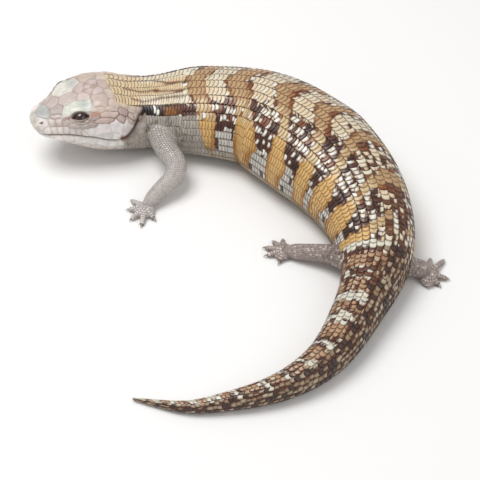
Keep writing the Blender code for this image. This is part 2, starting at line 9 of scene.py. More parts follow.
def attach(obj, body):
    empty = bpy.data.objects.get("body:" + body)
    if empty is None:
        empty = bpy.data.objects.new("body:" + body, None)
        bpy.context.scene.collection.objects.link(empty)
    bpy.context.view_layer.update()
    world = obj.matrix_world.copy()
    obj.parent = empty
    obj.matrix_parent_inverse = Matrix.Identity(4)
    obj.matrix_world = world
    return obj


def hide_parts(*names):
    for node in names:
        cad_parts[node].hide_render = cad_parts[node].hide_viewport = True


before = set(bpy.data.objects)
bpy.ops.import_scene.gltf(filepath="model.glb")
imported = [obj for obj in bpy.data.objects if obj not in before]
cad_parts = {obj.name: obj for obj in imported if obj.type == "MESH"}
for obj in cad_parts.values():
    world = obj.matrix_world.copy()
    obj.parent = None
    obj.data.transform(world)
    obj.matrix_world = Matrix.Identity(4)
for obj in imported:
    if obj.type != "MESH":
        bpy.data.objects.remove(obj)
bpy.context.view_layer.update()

# The skin: soft hide over body, legs and feet. Body and limbs are lofted from the animal's
# measured sections, in millimetres and places from the snout along the back, joined by a
# remesh, smoothed, and set in by the depth of the scales that lie over it.
MM = 0.001
TOTAL_LENGTH = 444.0
CENTRE = (-3.1, 6.6)
SNOUT_PLACE = (-119.6, 67.8)
HEAD_END = 70.0
SPINE_STEP = 0.5
SPINE_HEADINGS = (
    (0, 22), (38, 25), (60, 10), (104, -10.5), (126, -17), (150, -40.5), (180, -49), (210, -62),
    (254, -86), (290, -112), (320, -118), (356, -146), (385, -166), (405, -172), (425, -193),
    (444, -197),
)
HALF_WIDTH = (
    (0, 3.0), (0.7, 6.0), (2, 8.4), (5, 11.2), (10, 14.2), (18, 18.0), (28, 22.0), (38, 24.4),
    (48, 25.0), (58, 23.8), (68, 23.2), (80, 26.2), (97, 29.8), (116, 30.4), (136, 31.2),
    (158, 33.8), (179, 34.2), (199, 31.8), (221, 28.4), (243, 24.4), (262, 20.8), (280, 17.0),
    (298, 14.2), (320, 12.1), (347, 9.5), (373, 7.1), (397, 5.2), (414, 3.8), (431, 2.3),
    (444, 1.1),
)
TOP = (
    (0, 16.8), (0.7, 19.0), (2, 20.4), (5, 22.0), (10, 23.6), (14, 25.2), (19, 28.3), (24, 30.4),
    (28, 31.8), (34, 35.2), (40, 37.0), (48, 36.7), (60, 34.6), (75, 35.4), (97, 40.8), (120, 44.5),
    (145, 47), (180, 47), (200, 44.5), (221, 40.5), (243, 36), (262, 32), (280, 28), (298, 24.8),
    (320, 22), (347, 18), (373, 13.5), (397, 10), (414, 7.2), (431, 4.7), (444, 2.6),
)
UNDERSIDE = (
    (0, 14.8), (0.7, 12.4), (2, 10.8), (5, 9.4), (10, 7.8), (18, 5.4), (30, 2.2), (38, 0.9),
    (45, 0.7), (60, -0.5), (300, -0.5), (400, -0.3), (444, 0.2),
)
ROUNDNESS_ABOVE = (
    (0, 2.0), (10, 2.5), (18, 3.6), (28, 3.4), (36, 2.9), (55, 2.6), (80, 2.3), (150, 2.15),
    (444, 2.0),
)
ROUNDNESS_BELOW = (
    (0, 2.0), (10, 2.6), (30, 3.2), (48, 3.0), (56, 2.6), (90, 2.6), (150, 2.8), (444, 2.0),
)
WIDEST_LEVEL = ((0, 0.45), (20, 0.45), (50, 0.45), (70, 0.42), (300, 0.46), (444, 0.5))
HEAD_LIFT = ((0, 12.6), (20, 9.3), (45, 3.8), (62, 0.9), (76, 0.0), (444, 0.0))
MOUTH_LINE = ((0, 12.4), (8, 15.0), (18, 16.9), (28, 16.8), (38, 15.4), (43, 15.9), (47, 17.6))
MOUTH_CORNER = 44.0
EYE_PLACE = (24.2, 28.1)
LID_OPENING = (4.2, 2.3)
NOSTRIL_PLACE = (3.8, 19.8)
EAR_FOLD_TOP = (65.5, 28.5)
EAR_FOLD_FOOT = (53.5, 12.5)
EAR_FOLD_DEPTH = 1.7
# The head's forms: place and reach along it, level and reach up it, and how far each stands out.
BROW = (20.6, 6.0, 30.0, 1.8, 1.4)
TEMPLE_HOLLOW = (44.0, 9.0, 27.4, 5.0, -0.9)
CHEEK_HOLLOW = (11.0, 6.0, 24.9, 3.0, -0.7)
JOWL = (47.0, 8.5, 19.0, 9.0, 1.6)
EYE_SWELLING = (4.6, 0.9)
UPPER_LIP = (2.0, 1.7, 0.45)
LOWER_LIP = (-2.2, 1.8, 0.40)
# Each leg: path from shoulder or hip to wrist, thickness along it, half length and half width of
# the palm, and where the toes end on the floor.
LIMBS = {
    "left_front": (
        ((-47, 80, 18), (-46.5, 63, 17), (-32.5, 43.5, 13), (-50.5, 28, 5.5), (-53.5, 22.5, 3.4)),
        (9.0, 7.0, 6.4, 4.6, 4.1), (6.2, 5.8),
        ((-63, 31.5), (-65, 23), (-62.5, 14), (-55.5, 8.5), (-47, 13.5)),
    ),
    "right_front": (
        ((-46, 96, 18), (-42, 109, 15), (-28.5, 122, 9.5), (-40, 131, 4.8), (-47, 131, 3.4)),
        (9.0, 7.0, 5.0, 4.4, 4.1), (6.2, 5.8),
        ((-50, 121.5), (-56.5, 124.5), (-58.5, 130.5), (-54, 135.5), (-45.5, 137)),
    ),
    "left_hind": (
        ((68, -36, 15), (59, -27, 13), (47, -19, 9), (31, -13.8, 4.8), (24.5, -11.5, 3.4)),
        (10.0, 7.6, 5.2, 4.6, 4.3), (5.8, 6.0),
        ((23.5, 0.5), (17.3, -1.2), (11.8, -6.8), (12.5, -13.9), (20.5, -20.5)),
    ),
    "right_hind": (
        ((74, -31, 14), (84, -29, 11), (92, -28, 7.8), (98, -27.5, 5.6), (101.5, -29, 3.8)),
        (9.0, 7.2, 5.4, 5.2, 5.0), (5.2, 8.2),
        ((104.5, -14.5), (112.5, -15.8), (113.7, -31.3), (108.2, -37.5), (101, -38.5)),
    ),
}
DIGIT_RADIUS = 1.55
CLAW_LENGTH = 2.0
DIGIT_START = 3.2
PALM_LEVEL = 2.3
PALM_HALF_HEIGHT = 3.0
DIGIT_SECTIONS = (
    (-0.3, 2.9, 1.3), (0.2, 2.9, 1.2), (0.5, 2.4, 1.0), (0.8, 1.7, 0.98), (0.97, 1.45, 0.8),
    (1.0, 1.45, 0.3),
)
FLOOR_GAP, LIMB_FLOOR_GAP = 0.12, 0.15
WRIST_START, WRIST_TAPER = 0.84, 0.42
PALM_TURN, PALM_REACH = 0.86, 0.8
COAT_DEPTH = 0.55
SHIELD_DEPTH, SKIN_EYE_DEPTH = 0.7, 3.6
LIMB_COAT_DEPTH, DIGIT_COAT_DEPTH, PALM_COAT_DEPTH = 0.44, 0.2, 0.3
TRUNK_GRID, LIMB_GRID, DIGIT_GRID = (360, 96), (90, 40), (16, 16)
TRUNK_CROWDING = 1.2
SKIN_VOXEL = 0.9


def through(stations, place):
    """Values on a smooth curve through (place, value) stations, without overshoot."""
    knots, values = np.array(stations, float).T
    spans = np.diff(knots)
    rises = np.diff(values) / spans
    slopes = np.concatenate([rises[:1], np.zeros(len(rises) - 1), rises[-1:]])
    before, after = rises[:-1], rises[1:]
    same = before * after > 0
    slopes[1:-1][same] = 2 * before[same] * after[same] / (before[same] + after[same])
    k = np.clip(np.searchsorted(knots, place, side="right") - 1, 0, len(spans) - 1)
    t = np.clip((place - knots[k]) / spans[k], 0, 1)
    return (
        values[k] * (1 + 2 * t) * (1 - t) ** 2
        + spans[k] * slopes[k] * t * (1 - t) ** 2
        + values[k + 1] * t * t * (3 - 2 * t)
        + spans[k] * slopes[k + 1] * t * t * (t - 1)
    )


spine_places = np.arange(int(TOTAL_LENGTH / SPINE_STEP) + 2) * SPINE_STEP
headings = np.radians(through(SPINE_HEADINGS, spine_places[:-1] + SPINE_STEP / 2))
paces = np.stack([np.cos(headings), np.sin(headings)], 1) * SPINE_STEP
spine = np.array(SNOUT_PLACE) - CENTRE + np.concatenate([[[0, 0]], np.cumsum(paces, 0)])

STATION_COUNT, STATION_POWER = 700, 1.5
GIRTH_COUNT = 512
SLOPE_STEP, SLOPE_TURN = 0.4, 0.004


def section_tables():
    """How far left and how high the skin lies, for each place and each share of the girth."""
    place = TOTAL_LENGTH * np.linspace(0, 1, STATION_COUNT) ** STATION_POWER
    turn = np.linspace(0, 2 * np.pi, 4 * GIRTH_COUNT + 1)
    across, up = np.sin(turn), np.cos(turn)
    top, low = through(TOP, place), through(UNDERSIDE, place)
    middle = low + through(WIDEST_LEVEL, place) * (top - low)
    above = 2 / through(ROUNDNESS_ABOVE, place)[:, None]
    below = 2 / through(ROUNDNESS_BELOW, place)[:, None]
    power = np.where(up >= 0, above, below)
    reach = np.where(up >= 0, (top - middle)[:, None], (middle - low)[:, None])
    left = through(HALF_WIDTH, place)[:, None] * np.sign(across) * np.abs(across) ** power
    height = middle[:, None] + reach * np.sign(up) * np.abs(up) ** power
    run = np.hypot(np.diff(left, axis=1), np.diff(height, axis=1))
    travelled = np.concatenate([np.zeros((len(place), 1)), np.cumsum(run, 1)], 1)
    lefts, heights = [], []
    for row, line in enumerate(travelled):
        share = np.linspace(0, line[-1], GIRTH_COUNT + 1)
        lefts.append(np.interp(share, line, left[row]))
        heights.append(np.interp(share, line, height[row]))
    return np.array(lefts), np.array(heights), travelled[:, -1]


left_table, height_table, girth_table = section_tables()


def girth_length(place):
    """Millimetres round the body at each place."""
    places = TOTAL_LENGTH * np.linspace(0, 1, STATION_COUNT) ** STATION_POWER
    return np.interp(place, places, girth_table)


def section(place, girth):
    """Distance left and height of skin points; girth runs from the back's middle, left positive."""
    share = np.clip(place, 0, TOTAL_LENGTH) / TOTAL_LENGTH
    row = share ** (1 / STATION_POWER) * (STATION_COUNT - 1)
    column = (girth % 1.0) * GIRTH_COUNT
    i = np.minimum(row.astype(int), STATION_COUNT - 2)
    j = np.minimum(column.astype(int), GIRTH_COUNT - 1)
    u, v = row - i, column - j
    found = []
    for table in (left_table, height_table):
        near = table[i, j] * (1 - v) + table[i, j + 1] * v
        far = table[i + 1, j] * (1 - v) + table[i + 1, j + 1] * v
        found.append(near * (1 - u) + far * u)
    return found


def plain_point(place, girth):
    """Skin points in millimetres, without the head's forms."""
    left, height = section(place, girth)
    heading = np.radians(through(SPINE_HEADINGS, place))
    x = np.interp(place, spine_places, spine[:, 0]) + np.sin(heading) * left
    y = np.interp(place, spine_places, spine[:, 1]) - np.cos(heading) * left
    z = np.maximum(height + through(HEAD_LIFT, place), 0.0)
    return np.stack([x, y, z], -1)


def unit(vectors):
    return vectors / np.maximum(np.linalg.norm(vectors, axis=-1, keepdims=True), 1e-9)


def outward(place, girth):
    """Directions straight out of the body's plain form."""
    ahead = plain_point(np.minimum(place + SLOPE_STEP, TOTAL_LENGTH), girth)
    along = ahead - plain_point(np.maximum(place - SLOPE_STEP, 0), girth)
    around = plain_point(place, girth + SLOPE_TURN) - plain_point(place, girth - SLOPE_TURN)
    return unit(np.cross(around, along))


def bump(distance, reach):
    """1 at no distance, fading smoothly to nothing."""
    return np.exp(-((distance / reach) ** 2))


def fold_strength(place, height):
    """1 in the crease that runs behind the jowl from the throat up past the ear."""
    run, rise = EAR_FOLD_TOP[0] - EAR_FOLD_FOOT[0], EAR_FOLD_TOP[1] - EAR_FOLD_FOOT[1]
    length = math.hypot(run, rise)
    along = ((place - EAR_FOLD_FOOT[0]) * run + (height - EAR_FOLD_FOOT[1]) * rise) / length
    aside = ((place - EAR_FOLD_FOOT[0]) * rise - (height - EAR_FOLD_FOOT[1]) * run) / length
    beyond = np.maximum(np.maximum(-along, along - length), 0)
    return bump(aside, 2.4) * bump(beyond, 2.0)


def head_relief(place, girth):
    """How far the head's forms stand out of its plain section, in millimetres."""
    left, height = section(place, girth)
    flank = np.clip((np.abs(left) - 7.0) / 6.0, 0, 1)
    relief = np.zeros_like(height)
    for middle, reach, level, rise, strength in (BROW, TEMPLE_HOLLOW, CHEEK_HOLLOW):
        relief += strength * flank * bump(place - middle, reach) * bump(height - level, rise)
    away = np.hypot((place - EYE_PLACE[0]) / 1.25, height - EYE_PLACE[1])
    relief += EYE_SWELLING[1] * flank * bump(away, EYE_SWELLING[0])
    middle, reach, level, rise, strength = JOWL
    relief += strength * bump(place - middle, reach) * bump(height - level, rise)
    relief -= EAR_FOLD_DEPTH * fold_strength(place, height)
    lip_fade = np.clip((MOUTH_CORNER + 2.0 - place) / 6.0, 0, 1)
    for offset, rise, strength in (UPPER_LIP, LOWER_LIP):
        relief += strength * lip_fade * bump(height - through(MOUTH_LINE, place) - offset, rise)
    return relief * np.clip((HEAD_END - 1.0 - place) / 5.0, 0, 1)


def body_surface(place, girth, out=0.0):
    """Points of the outer form in metres, out millimetres beyond it."""
    relief = head_relief(place, girth) + out
    point = plain_point(place, girth) + outward(place, girth) * relief[..., None]
    point[..., 2] = np.maximum(point[..., 2], FLOOR_GAP)
    return point * MM


def spline(points, t):
    """Points and directions of a limb's smooth path; t runs from 0 to 1."""
    points = np.array(points, float)
    spans = len(points) - 2
    k = np.clip((t * spans).astype(int), 0, spans - 1)
    u = (t * spans - k)[..., None]
    a, b, c = points[k], points[k + 1], points[k + 2]
    start = np.where((k == 0)[..., None], a, (a + b) / 2)
    end = np.where((k == spans - 1)[..., None], c, (b + c) / 2)
    value = start * (1 - u) ** 2 + b * 2 * u * (1 - u) + end * u * u
    return value, unit((b - start) * (1 - u) + (end - b) * u)


def limb_path(limb, t):
    """Points, directions and radii along a limb, in millimetres."""
    joints, thickness = LIMBS[limb][:2]
    value, along = spline(np.array(joints, float) - (*CENTRE, 0), t)
    return value, along, spline([(size, 0, 0) for size in thickness], t)[0][..., 0]


def limb_surface(limb, t, turn, out=0.0):
    """Points of a limb's outer form in metres; turn is 0 on top and grows round it."""
    value, along, radius = limb_path(limb, t)
    wrist = 1 - WRIST_TAPER * np.clip((t - WRIST_START) / (1 - WRIST_START), 0, 1) ** 1.5
    radius = radius * wrist + out
    up = unit(np.array((0, 0, 1.0)) - along * along[..., 2:])
    side = np.cross(along, up)
    angle = 2 * np.pi * turn
    ring = side * np.sin(angle)[..., None] + up * np.cos(angle)[..., None]
    point = value + ring * radius[..., None]
    point[..., 2] = np.maximum(point[..., 2], LIMB_FLOOR_GAP)
    return point * MM


def palm_frame(limb):
    """Middle of a palm on the floor in millimetres, and its directions forward and aside."""
    joints = LIMBS[limb][0]
    wrist = spline(np.array(joints, float), np.array([PALM_TURN]))[0][0]
    heading = unit(np.array(joints[-1][:2]) - wrist[:2])
    middle = np.array(joints[-1][:2]) - CENTRE + heading * PALM_REACH
    return middle, heading, np.array((heading[1], -heading[0]))


def digit_frame(limb, number):
    """Root and tip of a digit on the floor, in millimetres, and how long it is without its claw."""
    joints, _, _, tips = LIMBS[limb]
    root = np.array(joints[-1][:2]) - CENTRE
    tip = np.array(tips[number]) - CENTRE
    lead = unit(tip - root)
    root = root + lead * DIGIT_START
    return root, lead, np.linalg.norm(tip - root) - CLAW_LENGTH


def digit_surface(limb, number, share, turn, out=0.0):
    root, lead, reach = digit_frame(limb, number)
    stations = np.array(DIGIT_SECTIONS)
    level = np.interp(share, stations[:, 0], stations[:, 1])
    radius = np.interp(share, stations[:, 0], stations[:, 2]) * DIGIT_RADIUS + out
    angle = 2 * np.pi * turn
    side = np.array((lead[1], -lead[0]))
    ground = root + lead * (share * reach)[..., None] + side * (np.sin(angle) * radius)[..., None]
    height = np.maximum(level + np.cos(angle) * radius, LIMB_FLOOR_GAP)
    return np.concatenate([ground, height[..., None]], -1) * MM


def wrapped(name, along, around, surface):
    """Closed tube: a flat grid whose X runs along the piece and Y round it, laid on a surface."""
    shape = bmesh.new()
    share_layer = shape.verts.layers.float.new("share")
    turn_layer = shape.verts.layers.float.new("turn")
    bmesh.ops.create_grid(shape, x_segments=along, y_segments=around, size=0.5)
    flat = np.array([vertex.co for vertex in shape.verts])
    shares, turns = flat[:, 0] + 0.5, flat[:, 1]
    for vertex, share, turn, point in zip(shape.verts, shares, turns, surface(shares, turns)):
        vertex.co = point
        vertex[share_layer] = share
        vertex[turn_layer] = turn
    bmesh.ops.remove_doubles(shape, verts=shape.verts[:], dist=0.000002)
    bmesh.ops.holes_fill(shape, edges=[edge for edge in shape.edges if edge.is_boundary], sides=0)
    bmesh.ops.recalc_face_normals(shape, faces=shape.faces[:])
    mesh = bpy.data.meshes.new(name)
    shape.to_mesh(mesh)
    shape.free()
    return mesh


def place_object(name, mesh):
    piece = bpy.data.objects.new(name, mesh)
    bpy.context.scene.collection.objects.link(piece)
    return piece


def girth_at_level(place, level):
    """Girth on the left where the skin stands at a level, for each place."""
    columns = np.linspace(0, 0.5, 200)
    found = []
    for spot, height in zip(place, level):
        heights = section(np.full(200, spot), columns)[1]
        found.append(np.interp(-height, -heights, columns))
    return np.array(found)


eye_girth = girth_at_level(np.array([EYE_PLACE[0]]), [EYE_PLACE[1]])[0]


def eye_ring(place, girth):
    """Distance from the middle of the eye, as a share of the almond opening between the lids."""
    across = (place - EYE_PLACE[0]) / LID_OPENING[0]
    up = np.abs((np.abs(girth) - eye_girth) * girth_length(place) / LID_OPENING[1]) ** (1 / 1.3)
    return np.hypot(across, up)


def eye_well(place, girth):
    """1 inside the opening between the lids, fading to 0 at its rim."""
    return np.clip((1.15 - eye_ring(place, girth)) / 0.3, 0, 1)


def trunk_skin(share, turn):
    """Hide of head, body and tail, deeper under the head's shields and behind the eyes."""
    place = 0.6 + (TOTAL_LENGTH - 0.8) * share ** TRUNK_CROWDING
    under_head = np.clip((HEAD_END - TOTAL_LENGTH * share ** TRUNK_CROWDING) / 6, 0, 1)
    depth = COAT_DEPTH + SHIELD_DEPTH * under_head + SKIN_EYE_DEPTH * eye_well(place, turn)
    return body_surface(place, turn, -depth)


def make_skin():
    """One closed hide: tubes for trunk, legs and toes and a ball for each palm, made one."""
    flesh = bmesh.new()
    parts = [wrapped("trunk", *TRUNK_GRID, trunk_skin)]
    for limb in LIMBS:
        parts.append(wrapped(limb, *LIMB_GRID, lambda share, turn: limb_surface(
            limb, share, turn, -LIMB_COAT_DEPTH)))
        for number in range(5):
            parts.append(wrapped("digit", *DIGIT_GRID, lambda share, turn: digit_surface(
                limb, number, -0.28 + 1.27 * share, turn, -DIGIT_COAT_DEPTH)))
    for part in parts:
        flesh.from_mesh(part)
        bpy.data.meshes.remove(part)
    for limb in LIMBS:
        palm = LIMBS[limb][2]
        middle, heading, aside = palm_frame(limb)
        ball = bmesh.ops.create_uvsphere(flesh, u_segments=32, v_segments=20, radius=1.0)
        for vertex in ball["verts"]:
            x, y, z = vertex.co
            ground = middle + heading * (x * palm[0]) + aside * (y * palm[1])
            height = PALM_LEVEL + z * (PALM_HALF_HEIGHT - PALM_COAT_DEPTH)
            vertex.co = Vector((*ground, max(height, LIMB_FLOOR_GAP))) * MM
    mesh = bpy.data.meshes.new("skin")
    flesh.to_mesh(mesh)
    flesh.free()
    rough = place_object("rough_skin", mesh)
    remesh = rough.modifiers.new("one surface", "REMESH")
    remesh.mode = "VOXEL"
    remesh.voxel_size = SKIN_VOXEL * MM
    remesh.use_smooth_shade = True
    relax = rough.modifiers.new("relax", "SMOOTH")
    relax.factor = 0.5
    relax.iterations = 3
    evaluated = rough.evaluated_get(bpy.context.evaluated_depsgraph_get())
    done = bpy.data.meshes.new_from_object(evaluated)
    bpy.data.objects.remove(rough, do_unlink=True)
    return place_object("skin", done)


skin = make_skin()

# Ink and finish of the hide: keratin scales with a soft gloss. Each piece carries its markings,
# with some painted shade and highlights, as an attribute named tint, worked out below, and the
# finish adds fine mottling and grain.


def ink(code):
    """sRGB hex colour as linear red, green and blue."""
    parts = np.array([int(code[k:k + 2], 16) for k in (1, 3, 5)]) / 255
    return np.where(parts <= 0.04045, parts / 12.92, ((parts + 0.055) / 1.055) ** 2.4)


def add_node(material, kind, settings=None, links=None):
    """Add a node, set its properties and inputs, and link named inputs to other nodes' outputs."""
    tree = material.node_tree
    node = tree.nodes.new(kind)
    for name, value in (settings or {}).items():
        if name in node.inputs:
            node.inputs[name].default_value = value
        else:
            setattr(node, name, value)
    for name, source in (links or {}).items():
        tree.links.new(source, node.inputs[name])
    return node


def new_finish(name):
    material = bpy.data.materials.new(name)
    material.use_nodes = True
    material.node_tree.nodes.clear()
    return material


def finish_with(material, settings, links):
    """Close a material with its shader and output."""
    shader = add_node(material, "ShaderNodeBsdfPrincipled", settings, links)
    add_node(material, "ShaderNodeOutputMaterial", None, {"Surface": shader.outputs["BSDF"]})


def scale_finish(name, roughness, grain, relief):
    """Keratin over living hide: the tint varied by fine mottling, a soft gloss, faint grain."""
    material = new_finish(name)
    tint = add_node(material, "ShaderNodeAttribute", {"attribute_name": "tint"})
    spot = add_node(material, "ShaderNodeTexCoord").outputs["Object"]
    mottle = add_node(material, "ShaderNodeTexNoise",
                      {"Scale": 1 / (grain * MM), "Detail": 4.0, "Roughness": 0.6},
                      {"Vector": spot})
    spread = add_node(material, "ShaderNodeMapRange",
                      {"From Min": 0.3, "From Max": 0.7, "To Min": 0.84, "To Max": 1.14},
                      {"Value": mottle.outputs["Fac"]})
    varied = add_node(material, "ShaderNodeVectorMath", {"operation": "SCALE"},
                      {"Vector": tint.outputs["Color"], "Scale": spread.outputs["Result"]})
    fine = add_node(material, "ShaderNodeTexNoise", {"Scale": 1 / (0.35 * MM), "Detail": 3.0},
                    {"Vector": spot})
    bumps = add_node(material, "ShaderNodeBump", {"Strength": relief, "Distance": 0.1 * MM},
                     {"Height": fine.outputs["Fac"]})
    finish_with(material, {"Roughness": roughness, "IOR": 1.5},
                {"Base Color": varied.outputs["Vector"], "Normal": bumps.outputs["Normal"]})
    return material


scale_keratin = scale_finish("body_scale_keratin", roughness=0.29, grain=2.2, relief=0.22)
shield_keratin = scale_finish("head_shield_keratin", roughness=0.32, grain=3.5, relief=0.25)
limb_keratin = scale_finish("limb_scale_keratin", roughness=0.22, grain=1.8, relief=0.12)
hide = scale_finish("hide_between_scales", roughness=0.6, grain=1.5, relief=0.5)


def set_tint(mesh, colours):
    """Store one linear colour for each vertex of a mesh."""
    layer = mesh.color_attributes.new("tint", "FLOAT_COLOR", "POINT")
    flat = np.ones((len(mesh.vertices), 4), np.float32)
    flat[:, :3] = colours
    layer.data.foreach_set("color", flat.ravel())


def blend_to(colours, other, weight):
    """Colours moved towards another by a weight for each."""
    return colours + (other - colours) * np.clip(weight, 0, 1)[..., None]


# The markings: cross bands of tan on the back that turn ochre low on the flanks, cream scales
# between them above, dark brown and white between them below, and rings on the tail.
BAND_GIRTHS = (-0.15, -0.10, -0.05, 0.0, 0.05, 0.10, 0.15, 0.20, 0.25)
# Each band's middle and half width in millimetres, at each of those girths.
BANDS = (
    ((85, 88, 93, 98, 100, 106, 110, 111, 112), (3, 4, 5, 5, 6.5, 5, 6, 6.5, 5)),
    ((120, 121, 122, 123, 128, 134, 144, 148, 146), (6, 6, 6.5, 6.5, 7, 7, 11, 15, 12)),
    ((142, 145, 149, 153, 162, 172, 177, 182, 180), (5, 5, 5.5, 5.5, 5.5, 3.5, 5, 9, 7)),
    ((170, 173, 177, 184, 193, 200, 204, 206, 206), (4.5, 5, 5, 5.5, 4.5, 4, 6, 7, 6)),
    ((201.5, 202, 204.5, 208.5, 214.5, 221, 225, 225.5, 224), (5, 4.5, 4.5, 4, 3, 3.5, 7, 8, 7)),
    ((228, 230, 231, 235, 239, 246, 248, 248, 246), (5, 5.5, 5, 3.5, 3, 5, 8, 8, 8)),
    ((255, 255.5, 255, 259, 265, 268, 268, 266, 264), (4, 4, 4, 3, 5, 5.5, 5.5, 4, 3)),
)
MIDLINE = (
    (0, 0.01), (70, 0.01), (110, 0.0), (140, -0.02), (180, -0.05), (220, -0.09), (280, -0.10),
    (320, -0.09), (444, -0.07),
)
BACK_HALF = ((60, 0.09), (110, 0.095), (150, 0.095), (180, 0.085), (220, 0.075), (260, 0.065),
             (290, 0.05))
OCHRE_START = (
    (60, 0.30), (98, 0.20), (110, 0.155), (150, 0.14), (200, 0.125), (225, 0.105), (250, 0.085),
    (268, 0.03), (290, -0.02),
)
PALE_FOOT_START = (
    (60, 0.2), (120, 0.185), (160, 0.205), (190, 0.19), (215, 0.18), (240, 0.185), (265, 0.17),
    (290, 0.15),
)
BELLY_START = ((60, 0.26), (100, 0.25), (120, 0.27), (160, 0.29), (250, 0.28), (300, 0.25),
               (444, 0.3))
REAR_BORDER = ((60, 0.8), (112, 1.0), (131, 3.2), (156, 5.0), (188, 3.4), (212, 6.0), (240, 4.2),
               (262, 5.0))
FRONT_BORDER = 1.9
NECK_SMUDGES = ((75, 0.026, 2.0, 0.012), (90, 0.045, 3.0, 0.010), (84, -0.012, 5.0, 0.006))
NECK_LINES = (
    ((50, -0.048), (72, -0.045), (85, -0.008), (96, -0.005)),
    ((56, 0.008), (66, 0.03), (73, 0.025), (88, 0.04), (97, 0.045)),
    ((60, 0.07), (67, 0.086), (79, 0.07), (94, 0.075)),
)
SHOULDER_END, SHOULDER_GIRTH = 104, 0.15
NAPE_END, NAPE_HALF = 96, 0.108
EAR_STRIPE_ENDS, EAR_STRIPE_GIRTH, EAR_STRIPE_HALF = (62, 103), 0.128, 0.021
HIPS_START = 269
TAIL_RINGS = (
    (281, 5.0), (298, 4.2), (313, 3.4), (329.5, 5.5), (346.5, 4.5), (359.5, 3.5), (370.5, 3.5),
    (384.5, 4.5), (397.5, 2.6), (408.5, 2.2), (419, 2.0), (428, 1.8), (436, 1.6),
)
CREAM, BONE, WHITE, SHADED_CREAM = map(ink, ("#dcc5a2", "#e2d9c2", "#ecebe4", "#c9c4b0"))
TAN, TAN_EDGE, STRAW = map(ink, ("#b8966e", "#8f5c30", "#cdb58b"))
OCHRE, OCHRE_DEEP = map(ink, ("#d2aa6c", "#a87336"))
UMBER, BLACKISH, RUST, ROW_LINE = map(ink, ("#573222", "#35221c", "#8c4f2b", "#6a4e3a"))
BELLY_GREY, BELLY_BUFF, NAPE, PALE_GREY = map(ink, ("#b5aea2", "#a3957e", "#d9bf98", "#bfbcb1"))
EAR_STRIPE, SHOULDER_GREY = map(ink, ("#1a110e", "#9c948a"))
TAIL_TAN, TAIL_BROWN, TAIL_PALE = map(ink, ("#b89471", "#82583c", "#d2cfc2"))
MOTTLE_DARK, MOTTLE_PALE, MOTTLE_TAN = map(ink, ("#4a362b", "#bcae93", "#94795c"))


def ripple(place, girth, long, tall, start):
    """Uneven but repeatable waves from -1 to 1 that break up the edges of the markings."""
    along, around = 2 * math.pi * place / long, 2 * math.pi * girth / tall
    bend = 2.1 * np.sin(around * 0.5 + start)
    sway = 1.7 * np.sin(along * 0.37 + 2 * start)
    return np.sin(along + bend) * np.sin(around + sway)


